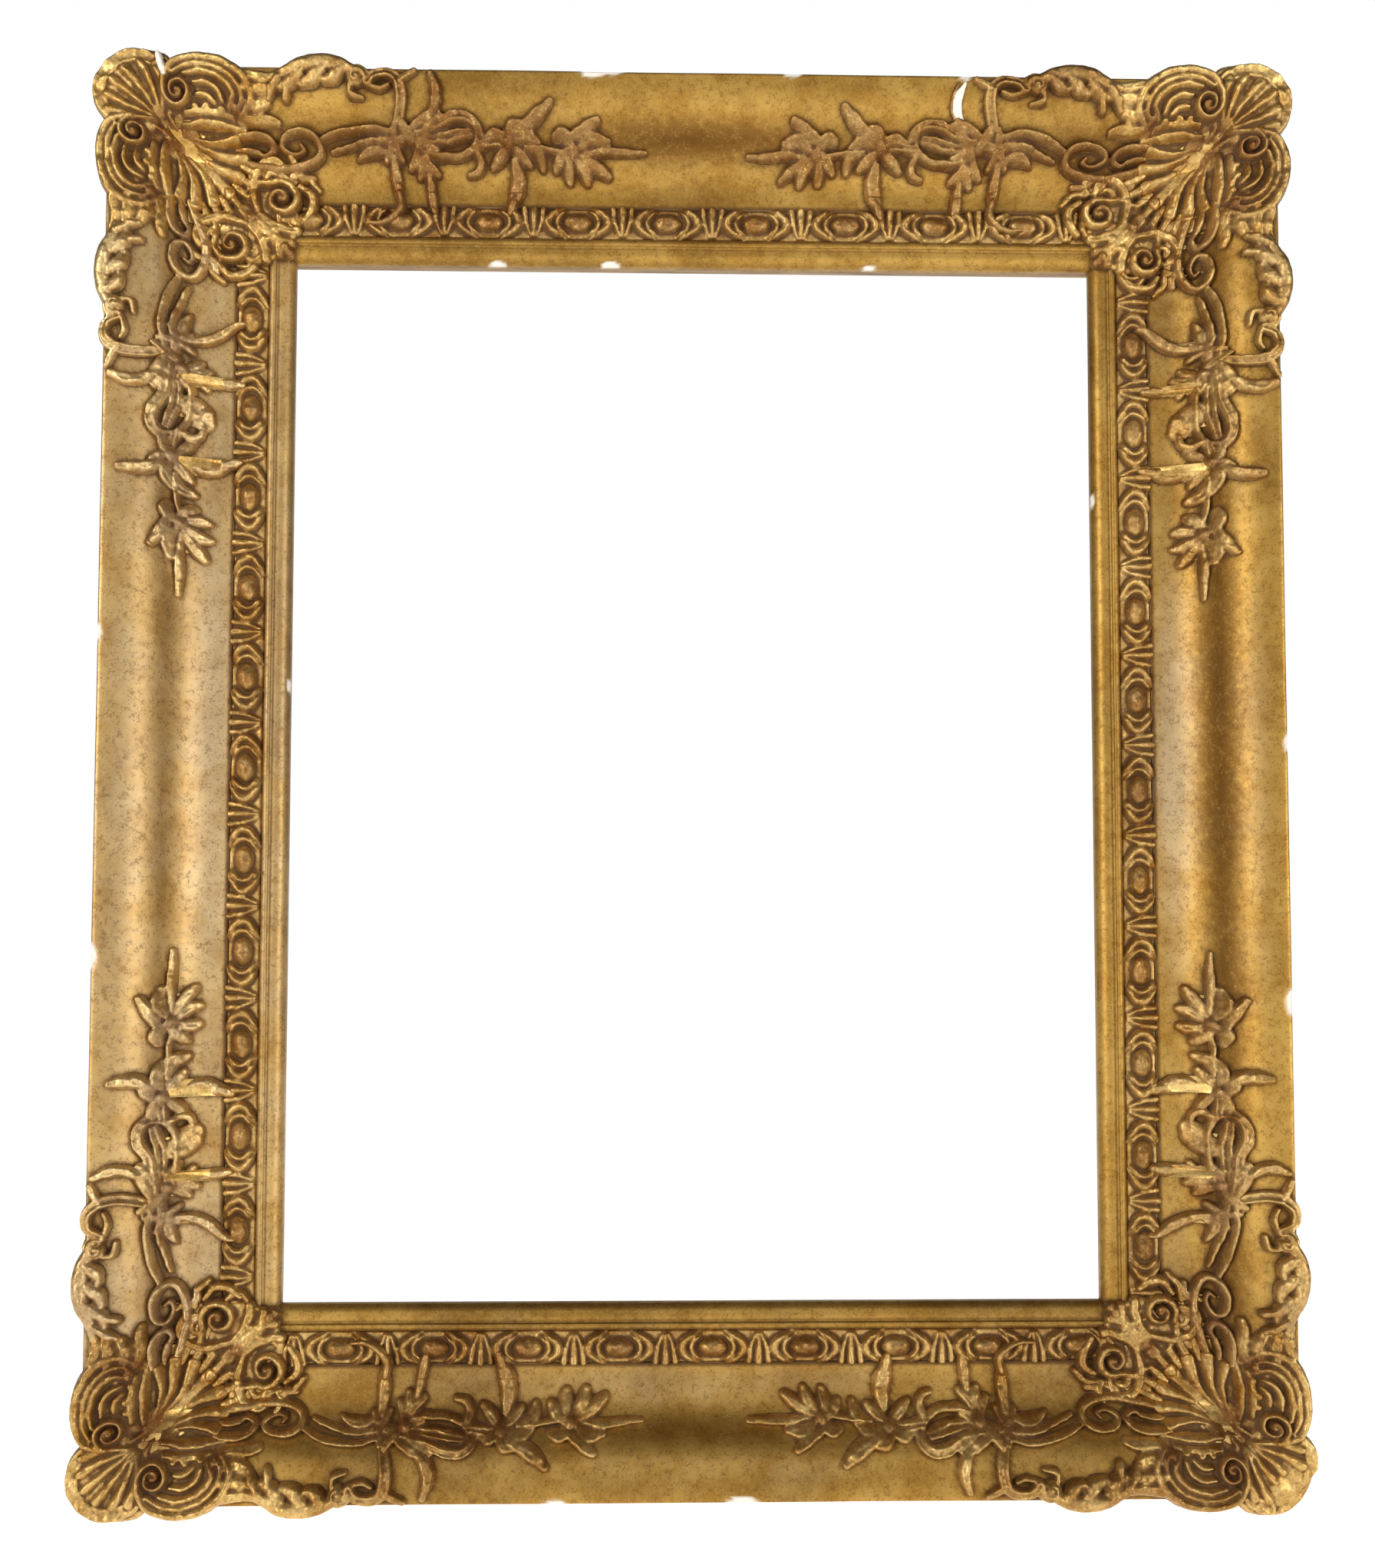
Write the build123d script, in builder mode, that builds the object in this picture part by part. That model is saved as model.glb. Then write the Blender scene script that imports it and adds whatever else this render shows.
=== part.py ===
from build123d import *
from math import atan, cos, degrees, hypot, pi, radians, sin, sqrt
import os

os.makedirs("parts", exist_ok=True)

# Millimetres. +X is right, +Z is up and the front of the frame faces -Y.
# The origin is the centre of the sight opening, on the back plane of the rails.
# Sections are drawn outward from the sight edge and forward from the back plane.

# Sight opening
sight_width = 545.0
sight_height = 701.0

# Rail section
rail_width = 117.0
crest_height = 83.0
foot_out = 38.0
foot_height = 42.0
edge_height = 5.0
undercut = 12.0
side_height = 32.0

# Rebate and sight slip
lip_width = 7.0
rebate_depth = 28.0
lip_height = 34.0
hollow_out = 10.5
hollow_height = 40.0
quirk_width = 1.5
slip_out = 16.0
slip_height = 43.0

# Egg and dart strip
bed_height = 38.0
strip_width = 19.5
strip_thickness = 2.0
egg_pitch = 61.0
egg_length = 21.0
egg_width = 12.0
egg_rise = 7.5
cup_reach = 16.5
cup_band = 4.6
cup_rise = 5.6
dart_length = 9.0
dart_rise = 5.0
strip_end_gap = 2.0
egg_shift_top = -18.8
egg_shift_bottom = 12.0
egg_shift_left = 4.0
egg_shift_right = -9.0

# Seating of the cast ornament on the rails
foot_gap = 0.6

# Relief of the cast ornament over the face of the rail
draw_in_share = 0.4
shell_radius = 50.0
shell_relief = 9.0
shell_flute = 3.6
fan_radius = 50.0
fan_relief = 8.0
fan_flute = 3.4
sight_fan_radius = 35.0
cheek_width = 13.0
cheek_relief = 6.5
scroll_band = 8.5
scroll_relief = 10.0
volute_radius = 12.0
volute_core = 4.4
sight_volute_radius = 11.5
sight_band = 6.6
sight_relief = 9.5
leaf_relief = 6.0
leaf_width = 9.0
boss_radius = 9.0
boss_relief = 12.0
knob_radius = 4.2
knob_relief = 7.5

# Scrolls along the outer edge
edge_band = 7.5
edge_relief = 7.5
edge_knob = 6.0
edge_knob_relief = 9.5

# Floral sprays, each from a corner towards the middle of its rail
spray_length = 240.0
stem_width = 5.0
stem_relief = 4.5
spray_leaf = 9.0
spray_leaf_relief = 5.0
flower_radius = 8.5
flower_relief = 7.5
cove_band = 6.5
cove_relief = 7.5
cove_volute_radius = 16.5

# Corner keys
key_leg = 58.0
key_thickness = 3.0
key_depth = 12.0

# Hangers
screw_sides = 6
button_sides = 8
barrel_sides = 8
wire_sides = 6
bore_sides = 8
plate_length = 46.0
plate_width = 14.0
plate_thickness = 1.5
barrel_radius = 3.3
wire_radius = 1.5
wire_clearance = 0.08
ring_width = 24.0
ring_length = 19.0
hanger_out = 82.0
hanger_up = 156.0
hanger_screw_pitch = 20.0
hanger_screw_inset = 9.0
hanger_screw_radius = 1.9
hanger_screw_head = 3.6
hanger_screw_head_height = 1.5
hanger_screw_length = 15.0

# Turn buttons
button_length = 45.0
button_width = 12.0
button_thickness = 1.6
button_tail = 7.0
button_gap = 0.2
button_out = 19.0
button_up = 236.0
button_screw_radius = 2.1
button_screw_clearance = 0.08
button_screw_head = 4.2
button_screw_head_height = 2.0
button_screw_length = 18.0

# Worked out from the sizes above
forward = Vector(0, -1, 0)
half_width = sight_width / 2
half_height = sight_height / 2
ogee_out = rail_width - foot_out
ogee_rise = crest_height - foot_height
ogee_angle = 2 * atan(ogee_rise / ogee_out)
ogee_radius = ogee_out / (2 * sin(ogee_angle))
base_out = rail_width - undercut
strip_out = slip_out + strip_width
strip_top = bed_height + strip_thickness + egg_rise

sides = {
    "top": (Vector(0, 0, 1), half_height, half_width),
    "right": (Vector(1, 0, 0), half_width, half_height),
    "bottom": (Vector(0, 0, -1), half_height, half_width),
    "left": (Vector(-1, 0, 0), half_width, half_height),
}
egg_shifts = {
    "top": egg_shift_top,
    "right": egg_shift_right,
    "bottom": egg_shift_bottom,
    "left": egg_shift_left,
}


# The ogee face of the rail
def face_height(out):
    """Height of the face over the back plane, at a distance out from the sight edge."""
    if out <= foot_out:
        return foot_height
    if out <= foot_out + ogee_out / 2:
        return foot_height + ogee_radius - sqrt(ogee_radius**2 - (out - foot_out) ** 2)
    back = rail_width - min(out, rail_width)
    return crest_height - ogee_radius + sqrt(ogee_radius**2 - back**2)


def section_plane(side):
    """Plane across one side, with x outward from the sight edge and y forward."""
    outward, half_opening, _ = sides[side]
    return Plane(origin=outward * half_opening, x_dir=outward, z_dir=outward.cross(forward))


def face_plane(side):
    """Plane along one side, with x along the side, y outward and z forward."""
    outward, half_opening, _ = sides[side]
    return Plane(origin=outward * half_opening, x_dir=outward.cross(forward), z_dir=forward)


def mitred(side, outline):
    """Runs a section along one side and mitres both ends through the frame's corners."""
    _, _, half_run = sides[side]
    with BuildPart() as run:
        with BuildSketch(section_plane(side)):
            with BuildLine():
                outline()
            make_face()
        extrude(amount=half_run + rail_width, both=True)
        with BuildSketch(face_plane(side)):
            with BuildLine():
                Polyline(
                    (-half_run, 0),
                    (half_run, 0),
                    (half_run + rail_width, rail_width),
                    (-half_run - rail_width, rail_width),
                    close=True,
                )
            make_face()
        extrude(amount=crest_height, mode=Mode.INTERSECT)
    return run


def rail_outline():
    """Square rebate wall, slip ledge, strip bed, ogee face, crest and undercut side."""
    middle_out = foot_out + ogee_out / 2
    middle_height = foot_height + ogee_rise / 2
    Polyline(
        (foot_out, foot_height),
        (foot_out, bed_height),
        (slip_out, bed_height),
        (slip_out, rebate_depth),
        (lip_width, rebate_depth),
        (lip_width, 0),
        (base_out, 0),
        (base_out, side_height),
    )
    ThreePointArc(
        (base_out, side_height),
        (
            base_out + undercut * (1 - cos(pi / 4)),
            side_height + (crest_height - edge_height - side_height) * sin(pi / 4),
        ),
        (rail_width, crest_height - edge_height),
    )
    Line((rail_width, crest_height - edge_height), (rail_width, crest_height))
    RadiusArc((rail_width, crest_height), (middle_out, middle_height), -ogee_radius)
    RadiusArc((middle_out, middle_height), (foot_out, foot_height), ogee_radius)


def slip_outline():
    """Thin lip over the picture, a rounded hollow, a quirk and a flat fillet."""
    RadiusArc((0, lip_height), (hollow_out, hollow_height), hollow_out)
    Polyline(
        (hollow_out, hollow_height),
        (hollow_out + quirk_width, hollow_height),
        (hollow_out + quirk_width, slip_height),
        (slip_out, slip_height),
        (slip_out, rebate_depth),
        (0, rebate_depth),
        (0, lip_height),
    )


# Rails, with slots for the corner keys and holes for the screws
hanger_places = [
    (right * (half_width + hanger_out - shift), hanger_up)
    for right in (-1, 1)
    for shift in (hanger_screw_inset, hanger_screw_inset + hanger_screw_pitch)
]
button_places = {
    "upper_right": (half_width + button_out, button_up),
    "lower_right": (half_width + button_out, -button_up),
    "lower_left": (-half_width - button_out, -button_up),
    "upper_left": (-half_width - button_out, button_up),
}

# Seen from the back, so that x stays right on the frame and z points out of the back
hole_plane = Plane(origin=(0, 0, 0), x_dir=(1, 0, 0), z_dir=forward)

with BuildPart() as mitre_keys:
    with BuildSketch(Plane(origin=(0, -key_depth, 0), x_dir=(1, 0, 0), z_dir=forward)):
        for right in (-1, 1):
            for up in (-1, 1):
                corner = (right * (half_width + base_out), up * (half_height + base_out))
                with BuildLine():
                    Polyline(
                        corner,
                        (corner[0] - right * key_leg, corner[1]),
                        (corner[0], corner[1] - up * key_leg),
                        close=True,
                    )
                make_face()
    extrude(amount=key_thickness)

for side in sides:
    with BuildPart() as rail:
        add(mitred(side, rail_outline).part)
        add(mitre_keys.part, mode=Mode.SUBTRACT)
        with BuildSketch(hole_plane):
            with Locations(*hanger_places):
                RegularPolygon(hanger_screw_radius, screw_sides)
        extrude(amount=hanger_screw_length, mode=Mode.SUBTRACT)
        with BuildSketch(hole_plane):
            with Locations(*button_places.values()):
                RegularPolygon(button_screw_radius, screw_sides)
        extrude(amount=button_screw_length, mode=Mode.SUBTRACT)
    rail.part.label = f"{side}_rail"
    export_step(rail.part, f"parts/{side}_rail.step")

mitre_keys.part.label = "mitre_keys"
export_step(mitre_keys.part, "parts/mitre_keys.step")

for side in sides:
    slip = mitred(side, slip_outline)
    slip.part.label = f"{side}_sight_slip"
    export_step(slip.part, f"parts/{side}_sight_slip.step")


# Castings are made of ruled lofts through small flat sections that follow the face
def spot(place, height=0):
    """A place out from the upper right sight corner, as a point of the frame."""
    return Vector(half_width + place[0], -height, half_height + place[1])


def ground(place, over_strip=False):
    """Height of what lies under a place given out from the sight corner."""
    out = max(place)
    if out < slip_out:
        return slip_height
    if over_strip:
        return max(strip_top, face_height(out))
    return max(slip_height, face_height(out))


def bulge(start, end, over_strip=False):
    """Most that the ground between two places stands above a straight line."""
    most = 0
    for share in (0.25, 0.5, 0.75):
        along = [first + share * (last - first) for first, last in zip(start, end)]
        line = ground(start, over_strip) * (1 - share) + ground(end, over_strip) * share
        most = max(most, ground(along, over_strip) - line)
    return most


def station(place, heading):
    """Upright plane across a route, with x to its left and y forward."""
    return Plane(
        origin=spot(place),
        x_dir=(-heading[1], 0, heading[0]),
        z_dir=(heading[0], 0, heading[1]),
    )


def headings(route):
    """Unit direction of a route at each of its places."""
    found = []
    for index in range(len(route)):
        start = route[max(index - 1, 0)]
        end = route[min(index + 1, len(route) - 1)]
        reach = hypot(end[0] - start[0], end[1] - start[1])
        found.append(((end[0] - start[0]) / reach, (end[1] - start[1]) / reach))
    return found


def between(values, share):
    """Reads a list of evenly spaced values at a share of its length."""
    place = share * (len(values) - 1)
    index = min(int(place), len(values) - 2)
    return values[index] + (place - index) * (values[index + 1] - values[index])


ridge_share = ((0.0, 1.0),)
hollow_share = ((0.4, 1.0), (0.0, 0.55), (-0.4, 1.0))


def band(route, width, relief, width_shares, relief_shares, crown=ridge_share, over_strip=False):
    """A carved band along a route, its feet just clear of the face of the rail."""
    turns = headings(route)
    lift = foot_gap
    for side in (-width / 2, 0, width / 2):
        edge = [
            (place[0] - heading[1] * side, place[1] + heading[0] * side)
            for place, heading in zip(route, turns)
        ]
        lift = max(lift, *[foot_gap + bulge(*ends, over_strip) for ends in zip(edge, edge[1:])])
    with BuildPart() as carved:
        for index, place in enumerate(route):
            along = index / (len(route) - 1)
            wide = width * between(width_shares, along)
            high = relief * between(relief_shares, along)
            heading = turns[index]

            def point(offset, rise):
                beside = (place[0] - heading[1] * offset, place[1] + heading[0] * offset)
                return (offset, ground(beside, over_strip) + rise)

            with BuildSketch(station(place, heading)):
                with BuildLine():
                    Polyline(
                        point(-wide / 2, lift),
                        point(wide / 2, lift),
                        *[point(wide * across, high * up) for across, up in crown],
                        close=True,
                    )
                make_face()
        loft(ruled=True)
    return carved.part


def volute(eye, core, radius, leave, turns, hand, steps=5):
    """Places of a spiral that winds out round its eye and leaves at an angle."""
    count = round(turns * steps)
    places = []
    for index in range(count + 1):
        share = index / count
        angle = radians(leave - hand * 360 * turns * (1 - share))
        reach = core + (radius - core) * share
        places.append((eye[0] + reach * cos(angle), eye[1] + reach * sin(angle)))
    return places


def fan(focus, first, last, lobes, radius, relief, flute, hub_share=0.16, swell=0.0):
    """A fluted shell: one loft through its ribs and the grooves between them."""
    hub = radius * hub_share
    with BuildPart() as shell:
        for index in range(2 * lobes + 1):
            share = index / (2 * lobes)
            angle = radians(first + (last - first) * share)
            heading = (cos(angle), sin(angle))
            groove = index % 2 == 0
            reach = radius * (1 - swell + swell * sin(pi * share)) * (0.9 if groove else 1)
            drop = flute if groove else 0

            def point(outward, rise):
                place = (focus[0] + heading[0] * outward, focus[1] + heading[1] * outward)
                return (outward, ground(place) + rise)

            foot = foot_gap + bulge(
                (focus[0] + heading[0] * hub, focus[1] + heading[1] * hub),
                (focus[0] + heading[0] * reach, focus[1] + heading[1] * reach),
            )
            upright = Plane(
                origin=spot(focus),
                x_dir=(heading[0], 0, heading[1]),
                z_dir=(heading[1], 0, -heading[0]),
            )
            with BuildSketch(upright):
                with BuildLine():
                    Polyline(
                        point(hub, foot),
                        point(hub, relief * 0.8 - drop * hub_share),
                        point(reach * 0.6, relief - drop * 0.6),
                        point(reach * 0.93, relief * 0.85 - drop * 0.93),
                        point(reach, foot),
                        close=True,
                    )
                make_face()
        loft(ruled=True)
    return shell.part


def lean(place, reach):
    """Plane lying on the face of the rail, averaged over a reach about a place."""
    out = max(place)
    if abs(place[0] - place[1]) < reach:
        return Plane(origin=spot(place, ground((out + 2 * reach, 0))), z_dir=forward)
    slope = (face_height(out + reach) - face_height(out - reach)) / (2 * reach)
    if place[1] >= place[0]:
        across = Vector(1, 0, 0)
        normal = Vector(0, -1, -slope)
    else:
        across = Vector(0, 0, 1)
        normal = Vector(-slope, -1, 0)
    return Plane(origin=spot(place, ground(place)), x_dir=across, z_dir=normal.normalized())


def draw_in(radius, relief):
    """Taper in degrees that narrows a dome to a little over half its radius."""
    return degrees(atan(draw_in_share * radius / relief))


def stood(form, place, radius):
    """A form stood square to the face of the rail, just clear of it."""
    with BuildPart() as standing:
        with Locations(lean(place, radius / 2).offset(foot_gap * 1.5)):
            add(form)
    return standing.part


def boss(place, radius, relief, corners=5):
    """A faceted dome."""
    with BuildPart() as dome:
        with BuildSketch():
            RegularPolygon(radius, corners)
        extrude(amount=relief, taper=draw_in(radius, relief))
    return stood(dome.part, place, radius)


def flower(place, radius, relief, petals=3):
    """An open flower, as a star of petals that narrows towards its centre."""
    with BuildPart() as bloom:
        with BuildSketch():
            with BuildLine():
                Polyline(
                    *[
                        (
                            radius * reach_share * cos(pi * corner / petals),
                            radius * reach_share * sin(pi * corner / petals),
                        )
                        for corner, reach_share in enumerate((1.0, 0.6) * petals)
                    ],
                    close=True,
                )
            make_face()
        extrude(amount=relief, taper=draw_in(radius / 2, relief))
    return stood(bloom.part, place, radius)


leaf_width_share = (0.5, 1.0, 0.3)
leaf_relief_share = (0.8, 1.0, 0.6)


def leaf(route, width, relief, over_strip=False):
    """A pointed leaf with a ridge down its middle."""
    return band(
        route, width, relief, leaf_width_share, leaf_relief_share, over_strip=over_strip
    )


def corner_places(shares):
    """Shares of the rail's width, as places out from the sight corner."""
    return [(across * rail_width, up * rail_width) for across, up in shares]


def spray_places(shares):
    """Shares of the spray's length and of the rail's width, as places on the top rail."""
    return [(-along * spray_length, up * rail_width) for along, up in shares]


def about(eye, radius, shares):
    """Shares of a volute's radius, as places about its eye."""
    return [(eye[0] + across * radius, eye[1] + up * radius) for across, up in shares]


def other_way(places):
    """The same places on the other rail of the corner."""
    return [(up, across) for across, up in places]


def casting(pieces):
    """Joins carved pieces into one."""
    with BuildPart() as cast:
        add(pieces)
    return cast


# Corner casting: a small shell outside, a wide fan inside, and two scrolls with cheeks
shell_focus, fan_focus = corner_places([(0.67, 0.67), (0.63, 0.63)])
scroll_eye = corner_places([(0.61, 0.84)])
cheek_route = corner_places([(0.58, 0.83), (0.4, 0.87), (0.28, 0.84)])
scroll_back_share = [(0.5, 1.03), (0.32, 1.01), (0.19, 0.86), (0.35, 0.71)]
scroll_route = volute(scroll_eye[0], volute_core, volute_radius, 60, 0.8, 1)
scroll_route += corner_places(scroll_back_share)


def corner_scroll(route):
    return band(
        route,
        scroll_band,
        scroll_relief,
        (0.5, 0.6, 0.75, 1.0, 1.1, 0.9, 0.55),
        (0.8, 0.8, 0.9, 1.0, 0.95, 0.8, 0.5),
        hollow_share,
    )


corner_pieces = [
    fan(shell_focus, 4, 86, 5, shell_radius, shell_relief, shell_flute, 0.12, 0.16),
    fan(fan_focus, 160, 290, 5, fan_radius, fan_relief, fan_flute, 0.08, 0.14),
    corner_scroll(scroll_route),
    corner_scroll(other_way(scroll_route)),
    leaf(cheek_route, cheek_width, cheek_relief),
    leaf(other_way(cheek_route), cheek_width, cheek_relief),
    boss(corner_places([(0.665, 0.665)])[0], boss_radius, boss_relief, 6),
]
corner_shell = casting(corner_pieces)

# Sight corner casting: a leafy fan over the mitre between two small volutes
sight_eye = corner_places([(0.05, 0.305)])
sight_tail_share = [(0.92, 0.77), (1.42, -0.56)]
sight_route = volute(sight_eye[0], volute_core, sight_volute_radius, 75, 0.8, -1)
sight_route += about(sight_eye[0], sight_volute_radius, sight_tail_share)
sight_leaf_share = [(0.1, 0.36), (0.055, 0.41), (0.005, 0.445)]
sight_fan_focus = corner_places([(0.25, 0.25)])[0]
sight_knob_share = (0.21, 0.21)


def sight_volute(route):
    return band(
        route,
        sight_band,
        sight_relief,
        (0.55, 0.65, 0.8, 1.0, 0.7),
        (0.8, 0.9, 1.0, 0.8),
        over_strip=True,
    )


sight_pieces = [
    fan(sight_fan_focus, 172, 278, 2, sight_fan_radius, fan_relief, fan_flute, swell=0.36),
    sight_volute(sight_route),
    sight_volute(other_way(sight_route)),
    leaf(corner_places(sight_leaf_share), leaf_width, leaf_relief, over_strip=True),
    leaf(other_way(corner_places(sight_leaf_share)), leaf_width, leaf_relief, over_strip=True),
    boss(corner_places([sight_knob_share])[0], knob_radius, knob_relief),
]
sight_scroll = casting(sight_pieces)

# Floral spray on the top rail: a cove scroll, a stem, leaves, flowers and buds
cove_eye = corner_places([(-0.068, 0.635)])
cove_tail_share = [(0.62, -0.85), (1.33, -0.53)]
cove_route = volute(cove_eye[0], volute_core, cove_volute_radius, 255, 1.15, 1, 4)
cove_route += about(cove_eye[0], cove_volute_radius, cove_tail_share)
stem_share = [(0.08, 0.69), (0.4, 0.635), (0.72, 0.64), (1.0, 0.6)]
leaf_shares = [
    [(0.285, 0.66), (0.32, 0.46), (0.26, 0.25)],
    [(0.38, 0.64), (0.4, 0.8), (0.41, 0.95)],
    [(0.6, 0.64), (0.65, 0.73), (0.72, 0.81)],
    [(0.61, 0.63), (0.635, 0.46), (0.605, 0.29)],
    [(0.79, 0.63), (0.82, 0.7), (0.86, 0.75)],
]
flower_share = [(0.37, 0.63), (0.61, 0.635), (0.8, 0.62)]

spray_pieces = [
    band(
        cove_route, cove_band, cove_relief, (0.55, 0.7, 0.85, 1.0, 1.1, 0.5), (0.8, 1.0, 1.0, 0.6)
    ),
    band(spray_places(stem_share), stem_width, stem_relief, (0.7, 1, 1, 0.6), (0.8, 1, 1, 0.8)),
]
spray_pieces += [
    leaf(spray_places(shares), spray_leaf, spray_leaf_relief, over_strip=True)
    for shares in leaf_shares
]
spray_pieces += [
    flower(place, flower_radius, flower_relief) for place in spray_places(flower_share)
]
spray = casting(spray_pieces)

# Edge scroll on the top rail: a leafy wave along the crest that turns in to the spray
wave_share = [
    (0.1, 0.87),
    (0.01, 0.89),
    (-0.09, 0.97),
    (-0.24, 1.02),
    (-0.38, 1.0),
    (-0.44, 0.89),
]
hook_share = [(-0.36, 1.005), (-0.52, 1.02), (-0.66, 0.95), (-0.7, 0.83), (-0.66, 0.745)]
edge_pieces = [
    band(
        corner_places(wave_share),
        edge_band,
        edge_relief,
        (0.7, 1.1, 0.9, 1.2, 1.0, 1.2),
        (0.8, 1.1, 0.9, 1.1, 0.9, 1.1),
    ),
    band(corner_places(hook_share), edge_band, edge_relief, (0.6, 1.1, 1.0, 0.8, 0.5), (0.8, 1, 0.7)),
    boss(corner_places([wave_share[-1]])[0], edge_knob, edge_knob_relief),
]
edge_scroll = casting(edge_pieces)

# Every casting is used at each corner, turned over for the other rail and mirrored
diagonal = Plane(origin=spot((0, 0)), x_dir=(0, 1, 0), z_dir=(1, 0, -1))


def write(part, name):
    part.label = name
    export_step(part, f"parts/{name}.step")


def mirrored(part, plane):
    with BuildPart() as reflection:
        mirror(part, about=plane)
    return reflection.part


def at_each_corner(part, names):
    """Writes a casting at the upper right corner and its three reflections."""
    upper_right, upper_left, lower_right, lower_left = names
    left = mirrored(part, Plane.YZ)
    write(part, upper_right)
    write(left, upper_left)
    write(mirrored(part, Plane.XY), lower_right)
    write(mirrored(left, Plane.XY), lower_left)


corners = ("upper_right", "upper_left", "lower_right", "lower_left")
on_rails = ("top_right", "top_left", "bottom_right", "bottom_left")
on_stiles = ("right_top", "left_top", "right_bottom", "left_bottom")
at_each_corner(corner_shell.part, [f"corner_shell_{corner}" for corner in corners])
at_each_corner(sight_scroll.part, [f"sight_scroll_{corner}" for corner in corners])
for name, master in (("floral_spray", spray.part), ("edge_scroll", edge_scroll.part)):
    at_each_corner(master, [f"{name}_{place}" for place in on_rails])
    at_each_corner(mirrored(master, diagonal), [f"{name}_{place}" for place in on_stiles])

# Egg and dart strips, pressed on a thin bed that fits between the slip and the ogee
with BuildPart() as egg:
    with BuildSketch():
        with BuildLine():
            Polyline(
                *[
                    (
                        egg_length / 2 * cos(pi * corner / 3),
                        egg_width / 2 * sin(pi * corner / 3) / sin(pi / 3),
                    )
                    for corner in range(6)
                ],
                close=True,
            )
        make_face()
    extrude(amount=egg_rise, taper=draw_in(egg_width / 2, egg_rise))

with BuildPart() as cup:
    for turn in (-60, 0, 60):
        across = (cos(radians(turn)), sin(radians(turn)))
        middle = (cup_reach * across[0], strip_width * 0.46 * across[1])
        with BuildSketch(
            Plane(
                origin=(middle[0], middle[1], 0),
                x_dir=(across[0], across[1], 0),
                z_dir=(across[1], -across[0], 0),
            )
        ):
            with BuildLine():
                Polyline(
                    (-cup_band / 2, 0),
                    (cup_band / 2, 0),
                    (0, cup_rise * cos(radians(turn * 0.7))),
                    close=True,
                )
            make_face()
    loft(ruled=True)

with BuildPart() as dart:
    with BuildSketch():
        with BuildLine():
            Polyline(
                (0, -strip_width * 0.4),
                (dart_length / 2, strip_width * 0.2),
                (0, strip_width * 0.46),
                (-dart_length / 2, strip_width * 0.2),
                close=True,
            )
        make_face()
    extrude(amount=dart_rise, taper=draw_in(dart_length / 2, dart_rise))


def along_strip(side, spacing_share, reach):
    """Places along a strip for one of its motifs, kept whole within the strip's ends."""
    _, half_opening, half_run = sides[side]
    limit = half_run - strip_end_gap - reach
    places = []
    count = int(half_run / egg_pitch) + 2
    for number in range(-count, count + 1):
        along = egg_shifts[side] + (number + spacing_share) * egg_pitch
        if abs(along) < limit:
            places.append((along, slip_out + strip_width / 2))
    return places


for side in sides:
    _, half_opening, half_run = sides[side]
    bed = face_plane(side).offset(bed_height)
    top = face_plane(side).offset(bed_height + strip_thickness)
    with BuildPart() as strip:
        with BuildSketch(bed):
            with Locations((0, slip_out + strip_width / 2)):
                Rectangle(2 * (half_run - strip_end_gap), strip_width)
        extrude(amount=strip_thickness)
        with Locations(top):
            with Locations(*along_strip(side, 0, egg_length / 2)):
                add(egg.part)
            with Locations(*along_strip(side, 0, cup_reach + cup_band / 2)):
                add(cup.part)
                add(cup.part, rotation=(0, 0, 180))
            with Locations(*along_strip(side, 0.5, dart_length / 2)):
                add(dart.part)
    write(strip.part, f"{side}_egg_and_dart")

# Hangers: a strap with a rolled barrel, held by two screws, and a ring that swings in it
back = Vector(0, 1, 0)
barrel_out = hanger_out - plate_length
rings = {}
with BuildPart() as plates:
    for right in (-1, 1):
        with BuildSketch(Plane(origin=(0, 0, hanger_up - plate_width / 2), z_dir=(0, 0, 1))):
            with Locations((right * (half_width + barrel_out), barrel_radius)):
                RegularPolygon(barrel_radius, barrel_sides, major_radius=False, rotation=22.5)
            with Locations(
                (right * (half_width + barrel_out + plate_length / 2), plate_thickness / 2)
            ):
                Rectangle(plate_length, plate_thickness)
            with Locations((right * (half_width + barrel_out), barrel_radius)):
                RegularPolygon(
                    wire_radius + wire_clearance, bore_sides, major_radius=False, mode=Mode.SUBTRACT
                )
        extrude(amount=plate_width)
    with BuildSketch(Plane(origin=(0, plate_thickness, 0), x_dir=(1, 0, 0), z_dir=forward)):
        with Locations(*hanger_places):
            RegularPolygon(hanger_screw_radius, screw_sides)
    extrude(amount=plate_thickness, mode=Mode.SUBTRACT)
write(plates.part, "hanger_plates")


def screws(places, radius, head, head_height, length, stand):
    """Round-headed screws, seen from the back, whose heads stand off the back plane."""
    with BuildPart() as group:
        with BuildSketch(Plane(origin=(0, stand, 0), x_dir=(1, 0, 0), z_dir=forward)):
            with Locations(*places):
                RegularPolygon(radius, screw_sides)
        extrude(amount=length + stand)
        with BuildSketch(Plane(origin=(0, stand, 0), x_dir=(-1, 0, 0), z_dir=back)):
            with Locations(*[(-across, up) for across, up in places]):
                RegularPolygon(head, screw_sides)
        extrude(amount=head_height, taper=draw_in(head, head_height))
    return group.part


write(
    screws(
        hanger_places,
        hanger_screw_radius,
        hanger_screw_head,
        hanger_screw_head_height,
        hanger_screw_length,
        plate_thickness,
    ),
    "hanger_screws",
)
write(
    screws(
        button_places.values(),
        button_screw_radius,
        button_screw_head,
        button_screw_head_height,
        button_screw_length,
        button_thickness + 2 * button_gap,
    ),
    "turn_button_screws",
)

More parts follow.
